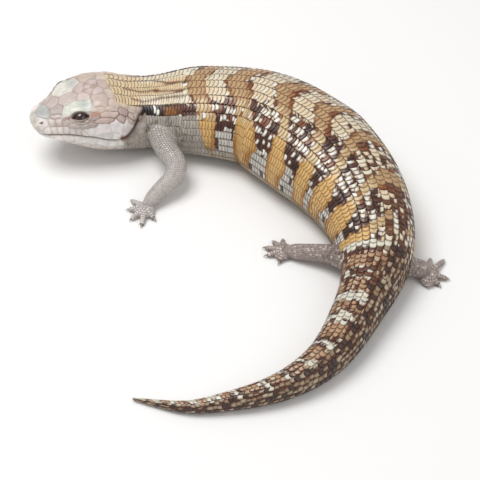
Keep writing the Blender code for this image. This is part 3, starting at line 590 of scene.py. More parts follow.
def markings(place, girth, size, random):
    """Look of scales at each of their points.

    It holds the tint, the tint of the edge and the share of the width that it takes, how much of
    it the rear edge shows, and how far to the side the pale middle of a dash lies.
    """
    total = len(place)
    count = total // size

    def each(values):
        return np.repeat(values, size)

    middle = through(MIDLINE, place)
    side = np.where(girth < middle, 2 * middle - girth, girth)
    away = side - middle
    wave, swell = ripple(place, girth, 6.5, 0.045, 1.0), ripple(place, girth, 17.0, 0.11, 2.6)
    fine = ripple(place, girth, 3.3, 0.026, 4.0)
    wobble = place + each(random.normal(0, 0.4, count)) + random.normal(0, 0.2, total)
    wobble = wobble + 0.7 * wave + 0.6 * swell
    nearest = np.full(total, 9.0)
    behind = np.full(total, 99.0)
    ahead = np.full(total, 99.0)
    for centres, halves in BANDS:
        centre = np.interp(side, BAND_GIRTHS, centres)
        half = np.interp(side, BAND_GIRTHS, halves)
        nearest = np.minimum(nearest, np.abs(wobble - centre) / half)
        past = wobble - centre
        behind = np.where(past > 0, np.minimum(behind, past - half), behind)
        ahead = np.where(past < 0, np.minimum(ahead, -past - half), ahead)
    in_band = nearest < 1
    start_of = {table: np.interp(place, *np.array(table).T) for table in (
        BACK_HALF, OCHRE_START, PALE_FOOT_START, BELLY_START, REAR_BORDER)}
    dice, second = each(random.random(count)), each(random.random(count))
    shade = each(random.normal(0, 1, count)) + random.normal(0, 0.3, total)
    dash_shift = each(random.uniform(-0.45, 0.45, count))
    dash_width = each(random.uniform(0.45, 0.85, count))
    ragged = side + each(0.006 * random.normal(0, 1, count)) + 0.006 * swell
    back = away < start_of[BACK_HALF] + 0.01 * shade
    ochre = ragged > start_of[OCHRE_START]
    belly = side > start_of[BELLY_START]
    # The cream is greyed and darkened on the far side of the back: painted shade on the side turned
    # away.
    far_side_shade = np.clip((middle - girth) * 12, 0, 1)

    tint = blend_to(np.tile(CREAM, (total, 1)), BONE, 0.4 + 0.3 * shade)
    tint = blend_to(tint, SHADED_CREAM, 0.7 * far_side_shade)
    edge = np.tile(ROW_LINE, (total, 1))
    wide, rear, shift = np.full(total, 0.26), np.full(total, 0.04), np.zeros(total)

    def paint(mask, colour, other, weight, edge_colour, edge_width, rear_edge, dash=False):
        weight = weight[mask] if np.ndim(weight) else np.full(mask.sum(), weight)
        tint[mask] = blend_to(np.tile(colour, (mask.sum(), 1)), other, weight)
        edge[mask], wide[mask], rear[mask] = edge_colour, edge_width, rear_edge
        shift[mask] = 0
        if dash:
            wide[mask], shift[mask] = dash_width[mask], dash_shift[mask]

    def stain(mask, colour, weight):
        tint[mask] = blend_to(tint[mask], colour, weight[mask])

    gap = back & ~in_band
    border_reach = start_of[REAR_BORDER]
    rear_border = gap & (behind < border_reach * (0.8 + 0.5 * swell) + 0.5 * shade)
    rusty = 1.1 - behind / border_reach + 0.3 * wave
    paint(rear_border, UMBER, RUST, rusty, BLACKISH, 0.2, 0.1)
    paint(rear_border & (dice < 0.28) & (place > 128), WHITE, BONE, 0.3, UMBER, 0.45, 0.7,
          dash=True)
    front_border = gap & ~rear_border & (ahead < FRONT_BORDER)
    paint(front_border & (dice < 0.45), UMBER, RUST, 0.4 + 0.4 * wave, BLACKISH, 0.2, 0.1)
    paint(front_border & (dice > 0.7), WHITE, BONE, 0.4, UMBER, 0.3, 0.5, dash=True)
    burnt = 1.9 * nearest - 1.2 + 0.1 * shade + 0.45 * wave
    paint(back & in_band, TAN, TAN_EDGE, burnt, TAN_EDGE, 0.2, 0.05)
    busy = np.clip((place - 190) / 60, 0, 1)
    paint(gap & (second < 0.75 * busy), BONE, CREAM, 0.4 + 0.2 * shade, UMBER, 0.5, 0.45, dash=True)
    for where, share, uneven in ((gap, 0.32, wave), (back & in_band, 0.3, shade)):
        paint(where & (dice > 1 - share * busy), UMBER, TAIL_BROWN, 0.4 + 0.3 * uneven,
              BLACKISH, 0.25, 0.2)
    paint(back & in_band & (second > 1 - 0.14 * busy), WHITE, BONE, 0.6, UMBER, 0.45, 0.6,
          dash=True)
    upper_gap, upper_band = ~back & ~ochre & ~in_band, ~back & ~ochre & in_band
    near_tile = np.clip((ahead - 2) / 6, 0, 1) * np.clip((behind - 5) / 5, 0, 1)
    bright = second < 0.5 + 0.3 * near_tile + 0.12 * swell
    sooty = 0.35 + 0.3 * shade + 0.3 * wave
    paint(upper_gap & ~bright, UMBER, BLACKISH, sooty, BLACKISH, 0.3, 0.2)
    bright &= fine > -0.4
    paint(upper_gap & bright, WHITE, BONE, 0.25 + 0.2 * shade, UMBER, 0.55, 0.75, dash=True)
    paint(upper_gap & (dice > 0.9), RUST, UMBER, 0.4, UMBER, 0.3, 0.2)
    paint(upper_band, STRAW, TAN, 0.6 * nearest + 0.2 * shade + 0.3 * wave, TAN_EDGE, 0.25, 0.1)
    paint(upper_band & (dice < 0.16), WHITE, BONE, 0.3, TAN_EDGE, 0.3, 0.4, dash=True)
    low_gap, low_band = ochre & ~belly & ~in_band, ochre & ~belly & in_band
    deeper = 0.8 * np.clip((side - 0.165) / 0.08, 0, 1)
    burnt = 2.2 * nearest - 1.5 + deeper + 0.06 * shade
    paint(low_band, OCHRE, OCHRE_DEEP, burnt, OCHRE_DEEP, 0.16, 0.12)
    paint(low_gap & (dice < 0.66), BLACKISH, UMBER, 0.35 + 0.3 * shade, BLACKISH, 0.3, 0.2)
    paint(low_gap & (dice >= 0.66), WHITE, BONE, 0.4, UMBER, 0.5, 0.7, dash=True)
    pale_foot = low_gap & (ragged > start_of[PALE_FOOT_START])
    paint(pale_foot, PALE_GREY, WHITE, 0.25 + 0.2 * shade, UMBER, 0.34, 0.3)
    paint(pale_foot & (dice < 0.16), UMBER, BLACKISH, 0.3, BLACKISH, 0.3, 0.2)
    paint(belly, BELLY_GREY, BELLY_BUFF, 0.45 + 0.2 * shade + 0.2 * swell, UMBER, 0.3, 0.25)
    paint(belly & in_band, OCHRE_DEEP, BELLY_BUFF, 0.5 + 0.2 * shade, ROW_LINE, 0.25, 0.15)

    shoulder_end = SHOULDER_END + 60 * (side - SHOULDER_GIRTH)
    shoulder = (place < shoulder_end) & (side > SHOULDER_GIRTH)
    paint(shoulder, SHOULDER_GREY, BELLY_GREY, 0.4 + 0.2 * shade, ROW_LINE, 0.12, 0.06)
    blotch = shoulder & (place < SHOULDER_END - 2) & (side < 0.25)
    stain(blotch, EAR_STRIPE, 0.5 * np.clip(wave + 0.8 * swell - 0.2, 0, 1))
    front = np.clip((side * 100 + 92 - place) / 5, 0, 1)
    nape = (side < NAPE_HALF) & (second < front) & (place < NAPE_END)
    paler = 0.2 + 0.15 * shade + np.clip((side - 0.03) * 12, 0, 0.8)
    paint(nape, NAPE, CREAM, paler, ROW_LINE, 0.08, 0.08)
    pale_collar = nape & (side > 0.05) & (place > 66)
    warmer = 0.45 + 0.15 * shade - np.clip((place - 80) / 30, 0, 0.4)
    paint(pale_collar, BONE, CREAM, warmer, ROW_LINE, 0.1, 0.25)
    for at, turn, long, tall in NECK_SMUDGES:
        away_from = ((place - at) / long) ** 2 + ((girth - turn) / tall) ** 2
        near = (away_from < 2.2) & (place < NAPE_END + 1)
        stain(near, RUST, 0.75 * np.clip(1.5 - away_from + 0.3 * wave, 0, 1))
    for line in NECK_LINES:
        level = np.interp(place, *np.array(line).T)
        off = (girth - level - 0.0015 * wave) * 110
        near = (np.abs(off) < 1.2) & (place > line[0][0]) & (place < line[-1][0])
        stain(near, UMBER, 0.85 * bump(off, 0.55))
    first, last = EAR_STRIPE_ENDS
    stripe_middle = EAR_STRIPE_GIRTH + np.clip(place - 90, 0, 20) * 0.0008 + 0.003 * wave
    fading = np.clip((place - first + 2) / 6, 0, 1) * np.clip((last - place) / 8, 0.3, 1)
    on_line = np.abs(girth - stripe_middle) < EAR_STRIPE_HALF * fading
    stripe = (place > first) & (place < last) & on_line
    core = stripe & (np.abs(place - 86) < 7 + 2 * swell) & (girth > stripe_middle - 0.012)
    paint(stripe, EAR_STRIPE, UMBER, np.clip((place - 76) / 14, 0, 1), BLACKISH, 0.3, 0.1)
    paint(core, UMBER, OCHRE_DEEP, 0.6 * bump(place - 84, 4) + 0.3 * wave, BLACKISH, 0.25, 0.1)
    flecked = stripe & (dice < 0.22) & (place < 82)
    paint(flecked, WHITE, BONE, 0.3, EAR_STRIPE, 0.5, 0.8, dash=True)
    flecks = (place > 64) & (place < 86) & (girth > 0.15) & (girth < 0.2) & (dice < 0.2)
    paint(flecks, SHOULDER_GREY, EAR_STRIPE, 0.7, SHOULDER_GREY, 0.3, 0.2, dash=True)

    hips = place > HIPS_START
    ring = np.full(total, 99.0)
    for centre, half in TAIL_RINGS:
        slant = centre + (side - 0.05) * 14
        ring = np.minimum(ring, np.abs(wobble - slant) / half)
    faded = np.clip((place - 310) / 60, 0, 1)
    uneven_edge = each(0.02 * random.normal(0, 1, count))
    mottled = hips & (girth < middle + 0.04 - 0.03 * faded + uneven_edge)
    ringed, bare = hips & (ring < 1), hips & (ring >= 1)
    paint(ringed, TAIL_TAN, TAIL_BROWN, 1.1 * ring - 0.35 + 0.2 * shade, UMBER, 0.3, 0.6)
    broken = ringed & (dice < 0.32 + 0.25 * ring)
    paint(broken, TAIL_TAN, BONE, 0.2 + 0.3 * shade, UMBER, 0.55, 0.75, dash=True)
    paint(bare, TAIL_PALE, BONE, 0.4 + 0.2 * shade, ROW_LINE, 0.2, 0.1)
    paint(bare & (ring < 1.5) & (dice < 0.6), UMBER, BLACKISH, 0.3, BLACKISH, 0.3, 0.3)
    early = hips & (place < 296) & (second < 0.22)
    paint(early, UMBER, TAIL_BROWN, 0.3 + 0.3 * shade, BLACKISH, 0.3, 0.3)
    dark = mottled & (dice < 0.35)
    paint(dark, MOTTLE_DARK, BLACKISH, 0.3 + 0.2 * shade, BLACKISH, 0.4, 0.4)
    light = 0.3 + 0.3 * shade + 0.4 * (ring < 1)
    paint(mottled & (dice >= 0.35), MOTTLE_PALE, MOTTLE_TAN, light, UMBER, 0.5, 0.5, dash=True)
    return {"tint": tint, "edge": edge, "wide": wide, "rear": rear, "shift": shift}


# The coat: overlapping cycloid scales of keratin over body and tail, laid in staggered rows from
# neck to tail tip. Each is a thin domed plate, rooted in the skin, with its free edge to the rear.
PATCH = 0.003
PIGMENT_FOLLOW = 0.8
ROOT_SINK = 0.02
UNDERSIDE_SHADE = 0.7
coat_roots = []


def lay_scales(name, surface, centres, halves, lift, dome, looks, patches, steps):
    """One mesh of many plates on a surface.

    centres and halves are (along, around) for each plate, lift and dome its thickness in
    millimetres at the free edge and in the middle, looks gives its tints, and patches its place
    on the UV map.
    """
    across_steps, along_steps = steps
    a, b = np.meshgrid(np.linspace(-1, 1, across_steps + 1), np.linspace(0, 1, along_steps + 1))
    a, b = a.ravel(), b.ravel()
    outline = 0.86 + 0.14 * np.sin(np.pi * np.minimum(b * 1.15, 1))
    reach = b - 0.22 * np.abs(a) ** 2.4 * b
    along = centres[:, :1] + halves[:, :1] * (2 * reach - 1.35)
    around = centres[:, 1:] + halves[:, 1:] * (a * outline)
    arch = dome[:, None] * (1 - a * a) * np.clip(b * 3, 0, 1)
    out = lift[:, None] * (1.25 * reach - 0.25) + arch - ROOT_SINK
    top = surface(along, around, out)
    under = surface(along.mean(1), around.mean(1), out.mean(1) - 0.5 * lift)
    count, size = along.shape
    points = np.concatenate([top.reshape(count, size, 3), under.reshape(count, 1, 3)], 1)
    width = across_steps + 1
    quads = []
    for row in range(along_steps):
        for column in range(across_steps):
            k = row * width + column
            quads.append((k, k + 1, k + 1 + width, k + width))
    rim = list(range(width)) + [width * (row + 1) - 1 for row in range(1, along_steps + 1)]
    rim += [size - 1 - k for k in range(1, width)]
    rim += [width * row for row in range(along_steps - 1, 0, -1)]
    fans = [(rim[k], size, rim[(k + 1) % len(rim)]) for k in range(len(rim))]
    loops = np.array([corner for face in quads + fans for corner in face])
    sizes = np.array([4] * len(quads) + [3] * len(fans))
    vertices = points.reshape(-1, 3)
    corners = (loops[None, :] + np.arange(count)[:, None] * (size + 1)).ravel()
    totals = np.tile(sizes, count)
    starts = np.concatenate([[0], np.cumsum(totals)[:-1]])
    mesh = bpy.data.meshes.new(name)
    mesh.vertices.add(len(vertices))
    mesh.vertices.foreach_set("co", vertices.astype(np.float32).ravel())
    mesh.loops.add(len(corners))
    mesh.loops.foreach_set("vertex_index", corners.astype(np.int32))
    mesh.polygons.add(len(totals))
    mesh.polygons.foreach_set("loop_start", starts.astype(np.int32))
    mesh.update(calc_edges=True)
    seen_along = centres[:, :1] + PIGMENT_FOLLOW * (along - centres[:, :1])
    seen_around = centres[:, 1:] + PIGMENT_FOLLOW * (around - centres[:, 1:])
    look = {key: values.reshape(count, size, -1) for key, values in looks(
        seen_along.ravel(), seen_around.ravel(), size).items()}
    lateral = np.clip((np.abs(a[None, :, None] - look["shift"]) - 1 + look["wide"]) / 0.22, 0, 1)
    rearward = look["rear"] * np.clip((b - 0.72) / 0.28, 0, 1)[None, :, None]
    shade = look["tint"] + (look["edge"] - look["tint"]) * np.maximum(lateral, rearward)
    middle = size // 2
    coat_roots.append((top[:, middle], shade[:, middle]))
    # The underside vertex of each plate is darkened by UNDERSIDE_SHADE: painted shade in the gap
    # under each scale.
    under_painted_shade = UNDERSIDE_SHADE * look["tint"][:, middle:middle + 1]
    colours = np.concatenate([shade, under_painted_shade], 1)
    set_tint(mesh, colours.reshape(-1, 3))
    layer = mesh.uv_layers.new(name="OFBake")
    local = np.concatenate([np.stack([a, 2 * b - 1], 1), [[0, 0]]]) * PATCH / 2
    maps = (patches[:, None] + local[None]).reshape(-1, 2)
    layer.data.foreach_set("uv", maps[corners].astype(np.float32).ravel())
    mesh.polygons.foreach_set("use_smooth", totals == 4)
    return place_object(name, mesh)


def limb_distance(points):
    """How deep points in metres lie inside the limbs, as a share of their thickness."""
    deepest = np.zeros(len(points))
    for limb in LIMBS:
        path, _, radius = limb_path(limb, np.linspace(0, 0.8, 40))
        for middle, reach in zip(path * MM, radius * MM):
            deepest = np.maximum(deepest, 1 - np.linalg.norm(points - middle, axis=1) / reach)
    return deepest


CROWDED_FLANKS = 0.16


def rows_of_scales(start, end, rows, pitch, random, crowding, overlap=0.56, bunch=None):
    """Staggered places and girths of scales in lengthwise rows, and their half sizes."""
    centres, halves = [], []
    for row in range(rows):
        even = (row + 0.5) / rows - 0.5
        girth = even + crowding * math.sin(4 * math.pi * even) / (4 * math.pi)
        half = overlap / rows * (1 + crowding * math.cos(4 * math.pi * even))
        place = start + (row % 2) * pitch / 2
        while place < end:
            step = pitch if bunch is None else pitch * bunch(place, girth)
            centres.append((place, girth))
            halves.append((step * 0.86, half))
            place += step
    centres, halves = np.array(centres), np.array(halves)
    centres[:, 0] += random.normal(0, 0.05, len(centres)) * halves[:, 0]
    return centres, halves


def neck_bunching(place, girth):
    """Scales crowd into fine ridges on the inner side of the neck's bend."""
    inner_bend = 0.52 * bump(place - 76, 24) * bump(girth - 0.02, 0.09)
    return 1 - inner_bend - 0.3 * bump(girth - 0.22, 0.08)


def flank_bunching(place, girth):
    """Scales crowd a little where the flank turns under."""
    return 1 - 0.2 * bump(girth - 0.2, 0.08)


NAPE_START, NAPE_GIRTH = 50.0, 0.115
PLATE_LIFT, PLATE_DOME, LARGE_PLATE = 0.19, 0.18, 2.3
# Each length of the coat: name, start, end, rows round it, pitch, steps of a plate, crowding.
COATS = (
    ("coat_neck", 48, 94, 22, 2.5, (8, 4), neck_bunching),
    ("coat_chest", 93, 150, 32, 2.65, (8, 4), flank_bunching),
    ("coat_belly_back", 150, 222, 34, 2.75, (8, 4), flank_bunching),
    ("coat_hips", 222, 288, 32, 3.0, (8, 4), flank_bunching),
    ("coat_tail_base", 288, 338, 21, 2.75, (8, 4), None),
    ("coat_tail_middle", 338, 390, 16, 2.6, (8, 4), None),
    ("coat_tail_end", 390, 443, 11, 2.3, (6, 4), None),
)
for number, (name, start, end, rows, pitch, steps, bunch) in enumerate(COATS):
    random = np.random.default_rng(100 + number)
    crowding = CROWDED_FLANKS if start < 280 else 0.0
    centres, halves = rows_of_scales(start, end, rows, pitch, random, crowding, bunch=bunch)
    clear = limb_distance(body_surface(centres[:, 0], centres[:, 1])) < 0.12
    clear &= (centres[:, 0] > HEAD_END - 5) | (np.abs(centres[:, 1]) < NAPE_GIRTH - 0.01)
    centres, halves = centres[clear], halves[clear]
    place, size = centres[:, 0], halves[:, 0] / LARGE_PLATE
    lift = PLATE_LIFT * np.clip(size, 0.4, 1) * np.clip((460 - place) / 120, 0.45, 1)
    dome = PLATE_DOME * np.clip(size, 0.3, 1) * np.clip((470 - place) / 150, 0.4, 1)
    share = np.clip((place - start) / (end - start + 1), 0, 1)
    patches = np.stack([0.02 + 0.96 * share, 0.02 + 0.96 * (centres[:, 1] + 0.5)], 1)
    coat = lay_scales(
        name, lambda place, girth, out: body_surface(place, girth, out - COAT_DEPTH),
        centres, halves, lift, dome, lambda *at: markings(*at, random), patches, steps)
    coat.data.materials.append(scale_keratin)
    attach(coat, "root")

# Leg scales: smaller and rounder than the body's, plain greyish pink on the forelegs with painted
# shade towards the shoulder, and brown with dark mottling on the hind ones, laid round each limb
# from shoulder to wrist.
PALE_LIMB, LILAC, FORE_SHADE = ink("#d0c9c3"), ink("#b3a8a3"), ink("#8c8178")
HIND_PINK, HIND_DARK, HIND_FLECK = ink("#b2a19a"), ink("#5d4b42"), ink("#cfc5bb")


def inside_body(points):
    """True where points in metres lie under the body's surface."""
    flat = points[:, :2] / MM
    away = np.linalg.norm(flat[:, None] - spine[None, ::4], axis=2)
    near = away.argmin(1)
    place = spine_places[::4][near]
    width = through(HALF_WIDTH, place)
    top, low = through(TOP, place), through(UNDERSIDE, place)
    middle = low + through(WIDEST_LEVEL, place) * (top - low)
    height = points[:, 2] / MM
    reach = np.where(height > middle, top - middle, middle - low)
    return (away.min(1) / width) ** 2.4 + (np.abs(height - middle) / reach) ** 2.4 < 0.9


def limb_look(limb, share, size, random):
    """Look of leg scales at each of their points; share runs from shoulder or hip to wrist."""
    total = len(share)
    count = total // size
    shade = np.repeat(random.normal(0, 1, count), size)
    fleck = np.repeat(random.random(count) < 0.08, size)
    if "front" in limb:
        tint = blend_to(np.tile(PALE_LIMB, (total, 1)), LILAC, 0.35 + 0.18 * shade)
        # Darker towards the shoulder with FORE_SHADE: painted shade under the body.
        tint = blend_to(tint, FORE_SHADE, 0.3 * np.clip((0.5 - share) * 4, 0, 1))
        darker, wide, rear = 0.88, 0.12, 0.7
    else:
        darkness = 0.42 + 0.18 * shade - 0.4 * np.clip(share * 2 - 0.7, 0, 1)
        tint = blend_to(np.tile(HIND_PINK, (total, 1)), HIND_DARK, darkness)
        tint[fleck] = HIND_FLECK
        darker, wide, rear = 0.66, 0.3, 0.5
    return {"tint": tint, "edge": tint * darker, "wide": np.full(total, wide),
            "rear": np.full(total, rear), "shift": np.zeros(total)}


LEG_ROWS, LEG_PITCH = 26, 1.3
LEG_LIFT, LEG_DOME = 0.16, 0.12
LEG_SMOOTHNESS = {"front": 0.3, "hind": 0.8}
for number, limb in enumerate(LIMBS):
    random = np.random.default_rng(200 + number)
    path = spline(np.array(LIMBS[limb][0], float), np.linspace(0, 1, 60))[0]
    length = np.linalg.norm(np.diff(path, axis=0), axis=1).sum()
    centres, halves = rows_of_scales(
        0.12 * length, 0.99 * length, LEG_ROWS, LEG_PITCH, random, 0.0, 0.6)
    clear = ~inside_body(limb_surface(limb, centres[:, 0] / length, centres[:, 1]))
    centres, halves = centres[clear], halves[clear]
    share = centres[:, 0] / length
    flat = np.full(len(centres), LEG_SMOOTHNESS[limb.split("_")[1]])
    patches = np.stack([0.03 + 0.94 * share, 0.03 + 0.94 * (centres[:, 1] + 0.5)], 1)
    coat = lay_scales(
        "coat_" + limb,
        lambda place, turn, out: limb_surface(limb, place / length, turn, out - 0.35),
        centres, halves, LEG_LIFT * flat, LEG_DOME * flat,
        lambda at, turn, size: limb_look(limb, at / length, size, random), patches, (4, 3))
    coat.data.materials.append(limb_keratin)
    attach(coat, "root")

# Claws: short curved horn at each digit's tip, dull brown to grey and glossy, each set into the
# last scale of its toe.
horn = new_finish("claw_horn")
horn_spot = add_node(horn, "ShaderNodeTexCoord")
horn_streaks = add_node(horn, "ShaderNodeTexNoise", {"Scale": 900.0, "Detail": 3.0},
                        {"Vector": horn_spot.outputs["Object"]})
horn_colour = add_node(horn, "ShaderNodeMix", {"data_type": "RGBA"},
                       {"Factor": horn_streaks.outputs["Fac"]})
horn_colour.inputs["A"].default_value = (*ink("#84786d"), 1)
horn_colour.inputs["B"].default_value = (*ink("#b5a99c"), 1)
finish_with(horn, {"Roughness": 0.28, "IOR": 1.54}, {"Base Color": horn_colour.outputs["Result"]})
CLAW_RADIUS, CLAW_POINT, CLAW_LEVEL = 0.55, 0.04, 1.5


def claw_surface(limb, number, share, turn):
    """Points of a claw in metres: a cone that rises a little and then bends to the floor."""
    root, lead, reach = digit_frame(limb, number)
    run = reach - 0.5 + (CLAW_LENGTH + 0.4) * share
    radius = CLAW_RADIUS * (1 - share ** 1.6) + CLAW_POINT
    level = CLAW_LEVEL + 0.35 * np.sin(np.pi * np.minimum(share * 1.2, 1)) - 0.95 * share ** 2
    angle = 2 * np.pi * turn
    aside = np.array((lead[1], -lead[0])) * (np.sin(angle) * radius)[..., None]
    height = level + np.cos(angle) * radius * 1.25
    return np.concatenate([root + lead * run[..., None] + aside, height[..., None]], -1) * MM


claws = bmesh.new()
for limb in LIMBS:
    for number in range(5):
        mesh = wrapped("claw", 14, 12, lambda share, turn: claw_surface(limb, number, share, turn))
        claws.from_mesh(mesh)
        bpy.data.meshes.remove(mesh)
claw_mesh = bpy.data.meshes.new("claws")
claws.to_mesh(claw_mesh)
claws.free()
claw_mesh.shade_smooth()
claw_piece = place_object("claws", claw_mesh)
claw_mesh.materials.append(horn)
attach(claw_piece, "root")

# Head shields: large plates of keratin fused to the head, parted by fine grooves, with the
# brows, lips, nostrils and ear crease. One fine shell over the skin carries them all.
HEAD_SHIELDS = (
    (0.8, 0.0, 2.2, 9.0, 0), (4.0, 0.125, 3.0, 3.6, 1), (6.3, 0.0, 3.8, 6.6, 2),
    (12.0, 0.098, 3.0, 2.4, 3), (14.2, 0.036, 3.6, 4.6, 3), (22.0, 0.0, 6.0, 4.8, 3),
    (25.3, 0.079, 7.8, 4.8, 4), (24.5, 0.123, 8.4, 1.3, 5), (30.8, 0.032, 3.4, 3.8, 6),
    (35.8, 0.004, 3.8, 3.6, 6), (38.8, 0.030, 3.2, 3.0, 6), (45.2, -0.014, 3.2, 3.8, 7),
    (38.6, 0.084, 5.4, 5.0, 7), (46.4, 0.058, 3.8, 3.6, 8), (45.6, 0.102, 4.0, 3.2, 8),
    (53.4, 0.098, 3.8, 3.6, 8), (50.6, 0.026, 3.2, 3.6, 8), (34.8, 0.128, 4.0, 2.0, 8),
    (42.4, 0.131, 4.0, 1.8, 8), (52.6, 0.064, 3.4, 3.4, 8), (40.6, 0.153, 5.6, 2.3, 9),
    (51.6, 0.139, 3.4, 2.3, 9), (36.6, 0.178, 6.2, 2.0, 9), (48.6, 0.175, 3.8, 2.4, 9),
    (57.2, 0.156, 2.2, 2.4, 9), (61.6, 0.150, 2.0, 2.2, 8), (59.6, 0.119, 2.8, 2.8, 8),
    (56.4, 0.178, 2.2, 2.2, 8), (64.6, 0.125, 2.4, 2.8, 8), (9.3, 0.136, 2.0, 2.8, 3),
    (12.6, 0.143, 1.9, 2.6, 3), (15.8, 0.152, 1.8, 2.4, 3), (19.0, 0.156, 1.8, 2.0, 10),
    (32.0, 0.152, 2.4, 2.2, 10), (20.6, 0.189, 2.6, 1.5, 10), (25.4, 0.196, 2.8, 1.5, 10),
    (30.0, 0.190, 2.6, 1.7, 10), (34.0, 0.214, 5.4, 4.0, 11), (44.0, 0.212, 5.6, 4.6, 11),
    (53.6, 0.205, 4.6, 4.2, 11), (28.0, 0.218, 3.4, 2.0, 11), (36.0, 0.243, 4.4, 2.0, 11),
    (43.0, 0.245, 3.4, 2.4, 11), (50.0, 0.238, 3.4, 2.8, 11),
)
SHIELD_TINTS = (
    "#cbc5bb", "#e6dbd5", "#b7b5b1", "#bfb1aa", "#cdcbc0", "#d8d6cb", "#c6b4ad", "#c0ada2",
    "#cdbdb0", "#c8b1a8", "#b8a9a4", "#e2dcd9",
)
OUTLINE_STRENGTH = (0.1, 0.15, 0.3, 0.5, 0.35, 0.1, 0.5, 0.5, 0.3, 1.0, 0.3, 0.06)
LIP_KIND, LOWER_LIP_KIND, CHIN_KIND = 12, 13, 14
UPPER_LIP_STEP, LOWER_LIP_STEP = 3.0, 5.8
LIP_TINT, LOWER_LIP_TINT, CHIN_TINT = ink("#d8d0c9"), ink("#e6e1db"), ink("#d6cec6")
OUTLINE, DARK_OUTLINE = ink("#8a7468"), ink("#62483c")
CREASE = ((67.5, 31.5), (66.0, 29.8), (62.0, 26.1), (58.7, 21.8), (52.5, 18.6), (45.5, 17.0))


mouth_places = np.linspace(0.8, 50, 60)
mouth_girths = girth_at_level(mouth_places, through(MOUTH_LINE, mouth_places))
nostril_girth = girth_at_level(np.array([NOSTRIL_PLACE[0]]), [NOSTRIL_PLACE[1]])[0]


def shield_sites(random):
    """Every shield of the head: place, girth, half length, half width, tint number."""
    sites = []
    for place, girth, long, wide, kind in HEAD_SHIELDS:
        for side in ((1, -1) if girth > 0 else (1,)):
            jitter = random.normal(0, 0.25, 2)
            sites.append((place + jitter[0], side * girth + jitter[1] * 0.004, long, wide, kind))
    for place in np.arange(6.4, 27, UPPER_LIP_STEP):
        girth = np.interp(place, mouth_places, mouth_girths) - 1.9 / girth_length(place)
        sites += [(place, side * girth, 1.8, 2.4, LIP_KIND) for side in (1, -1)]
    for place in np.arange(4.5, 46, LOWER_LIP_STEP):
        girth = np.interp(place, mouth_places, mouth_girths) + 2.4 / girth_length(place)
        sites += [(place, side * girth, 3.0, 2.2, LOWER_LIP_KIND) for side in (1, -1)]
    for row, place in enumerate(np.arange(6, 70, 3.2)):
        around = girth_length(place)
        low = np.interp(place, mouth_places, mouth_girths) + 7.0 / around if place < 50 else 0.235
        count = int((0.5 - low) * around / 3.6)
        for k in range(count):
            girth = low + (0.5 - low) * (k + 0.3 + 0.5 * (row % 2)) / max(count, 1)
            sites += [(place, side * girth, 1.9, 2.1, CHIN_KIND) for side in (1, -1)]
    return np.array(sites)


def nearest_shields(place, girth, sites):
    """For each point its shield, and the distance in millimetres to that shield's border."""
    length = girth_length(place)
    first = np.full(len(place), 99.0)
    second = np.full(len(place), 99.0)
    owner = np.zeros(len(place), int)
    for number, (at, turn, long, wide, _) in enumerate(sites):
        around = (girth - turn + 0.5) % 1 - 0.5
        far = np.hypot((place - at) / long, around * length / wide)
        closer = far < first
        second = np.where(closer, first, np.minimum(second, far))
        owner = np.where(closer, number, owner)
        first = np.minimum(first, far)
    sizes = (sites[owner, 2] + sites[owner, 3]) / 2
    return owner, (second - first) * sizes * 0.5


def mouth_offset(place, girth):
    """Millimetres below the line of the mouth, measured round the skin."""
    line = np.interp(place, mouth_places, mouth_girths)
    return (np.abs(girth) - line) * girth_length(place)


head_random = np.random.default_rng(7)
sites = shield_sites(head_random)
site_tints = [ink(code) for code in SHIELD_TINTS] + [LIP_TINT, LOWER_LIP_TINT, CHIN_TINT]
site_outlines = np.array(OUTLINE_STRENGTH + (0.4, 0.12, 0.25))


def head_marks(place, girth):
    """Where points lie against each mark of the head: shields, mouth, eyelids, nostril and ear."""
    owner, border = nearest_shields(place, girth, sites)
    left, height = section(place, girth)
    along = place - NOSTRIL_PLACE[0]
    down = (np.abs(girth) - nostril_girth) * girth_length(place)
    nostril = np.hypot((along - 0.5 * down) / 1.3, (down + 0.5 * along) / 0.55)
    crease = np.full(len(place), 99.0)
    for start, end in zip(np.array(CREASE[:-1]), np.array(CREASE[1:])):
        run = end - start
        ahead, above = place - start[0], height - start[1]
        share = np.clip((ahead * run[0] + above * run[1]) / (run @ run), 0, 1)
        crease = np.minimum(crease, np.hypot(ahead - share * run[0], above - share * run[1]))
    opening = np.clip((MOUTH_CORNER + 1 - place) / 2.5, 0, 1) * np.clip((place - 0.9) / 0.8, 0, 1)
    return {
        "owner": owner, "border": border, "height": height, "ring": eye_ring(place, girth),
        "mouth": mouth_offset(place, girth), "open_mouth": opening, "nostril": nostril,
        "crease": np.where(np.abs(left) > 5, crease, 99.0),
    }


def head_place(share):
    return 0.02 + (HEAD_END + 0.5) * share ** 1.25


def shell_end(girth):
    """Where the head's shields dive under the neck's scales: further forward over the nape."""
    over_nape = np.clip((NAPE_GIRTH - np.abs(girth)) / 0.02, 0, 1)
    return HEAD_END - 1 - (HEAD_END - 1 - NAPE_START) * over_nape


SHIELD_SWELL, GROOVE_WIDTH = 0.16, 0.36
MOUTH_DEPTH, MOUTH_WIDTH = 1.2, 0.42
NOSTRIL_DEPTH, NOSTRIL_RIM = 1.6, 0.4
CREASE_DEPTH, SHELL_EYE_DEPTH, SHELL_DIVE = 1.1, 3.2, 0.9


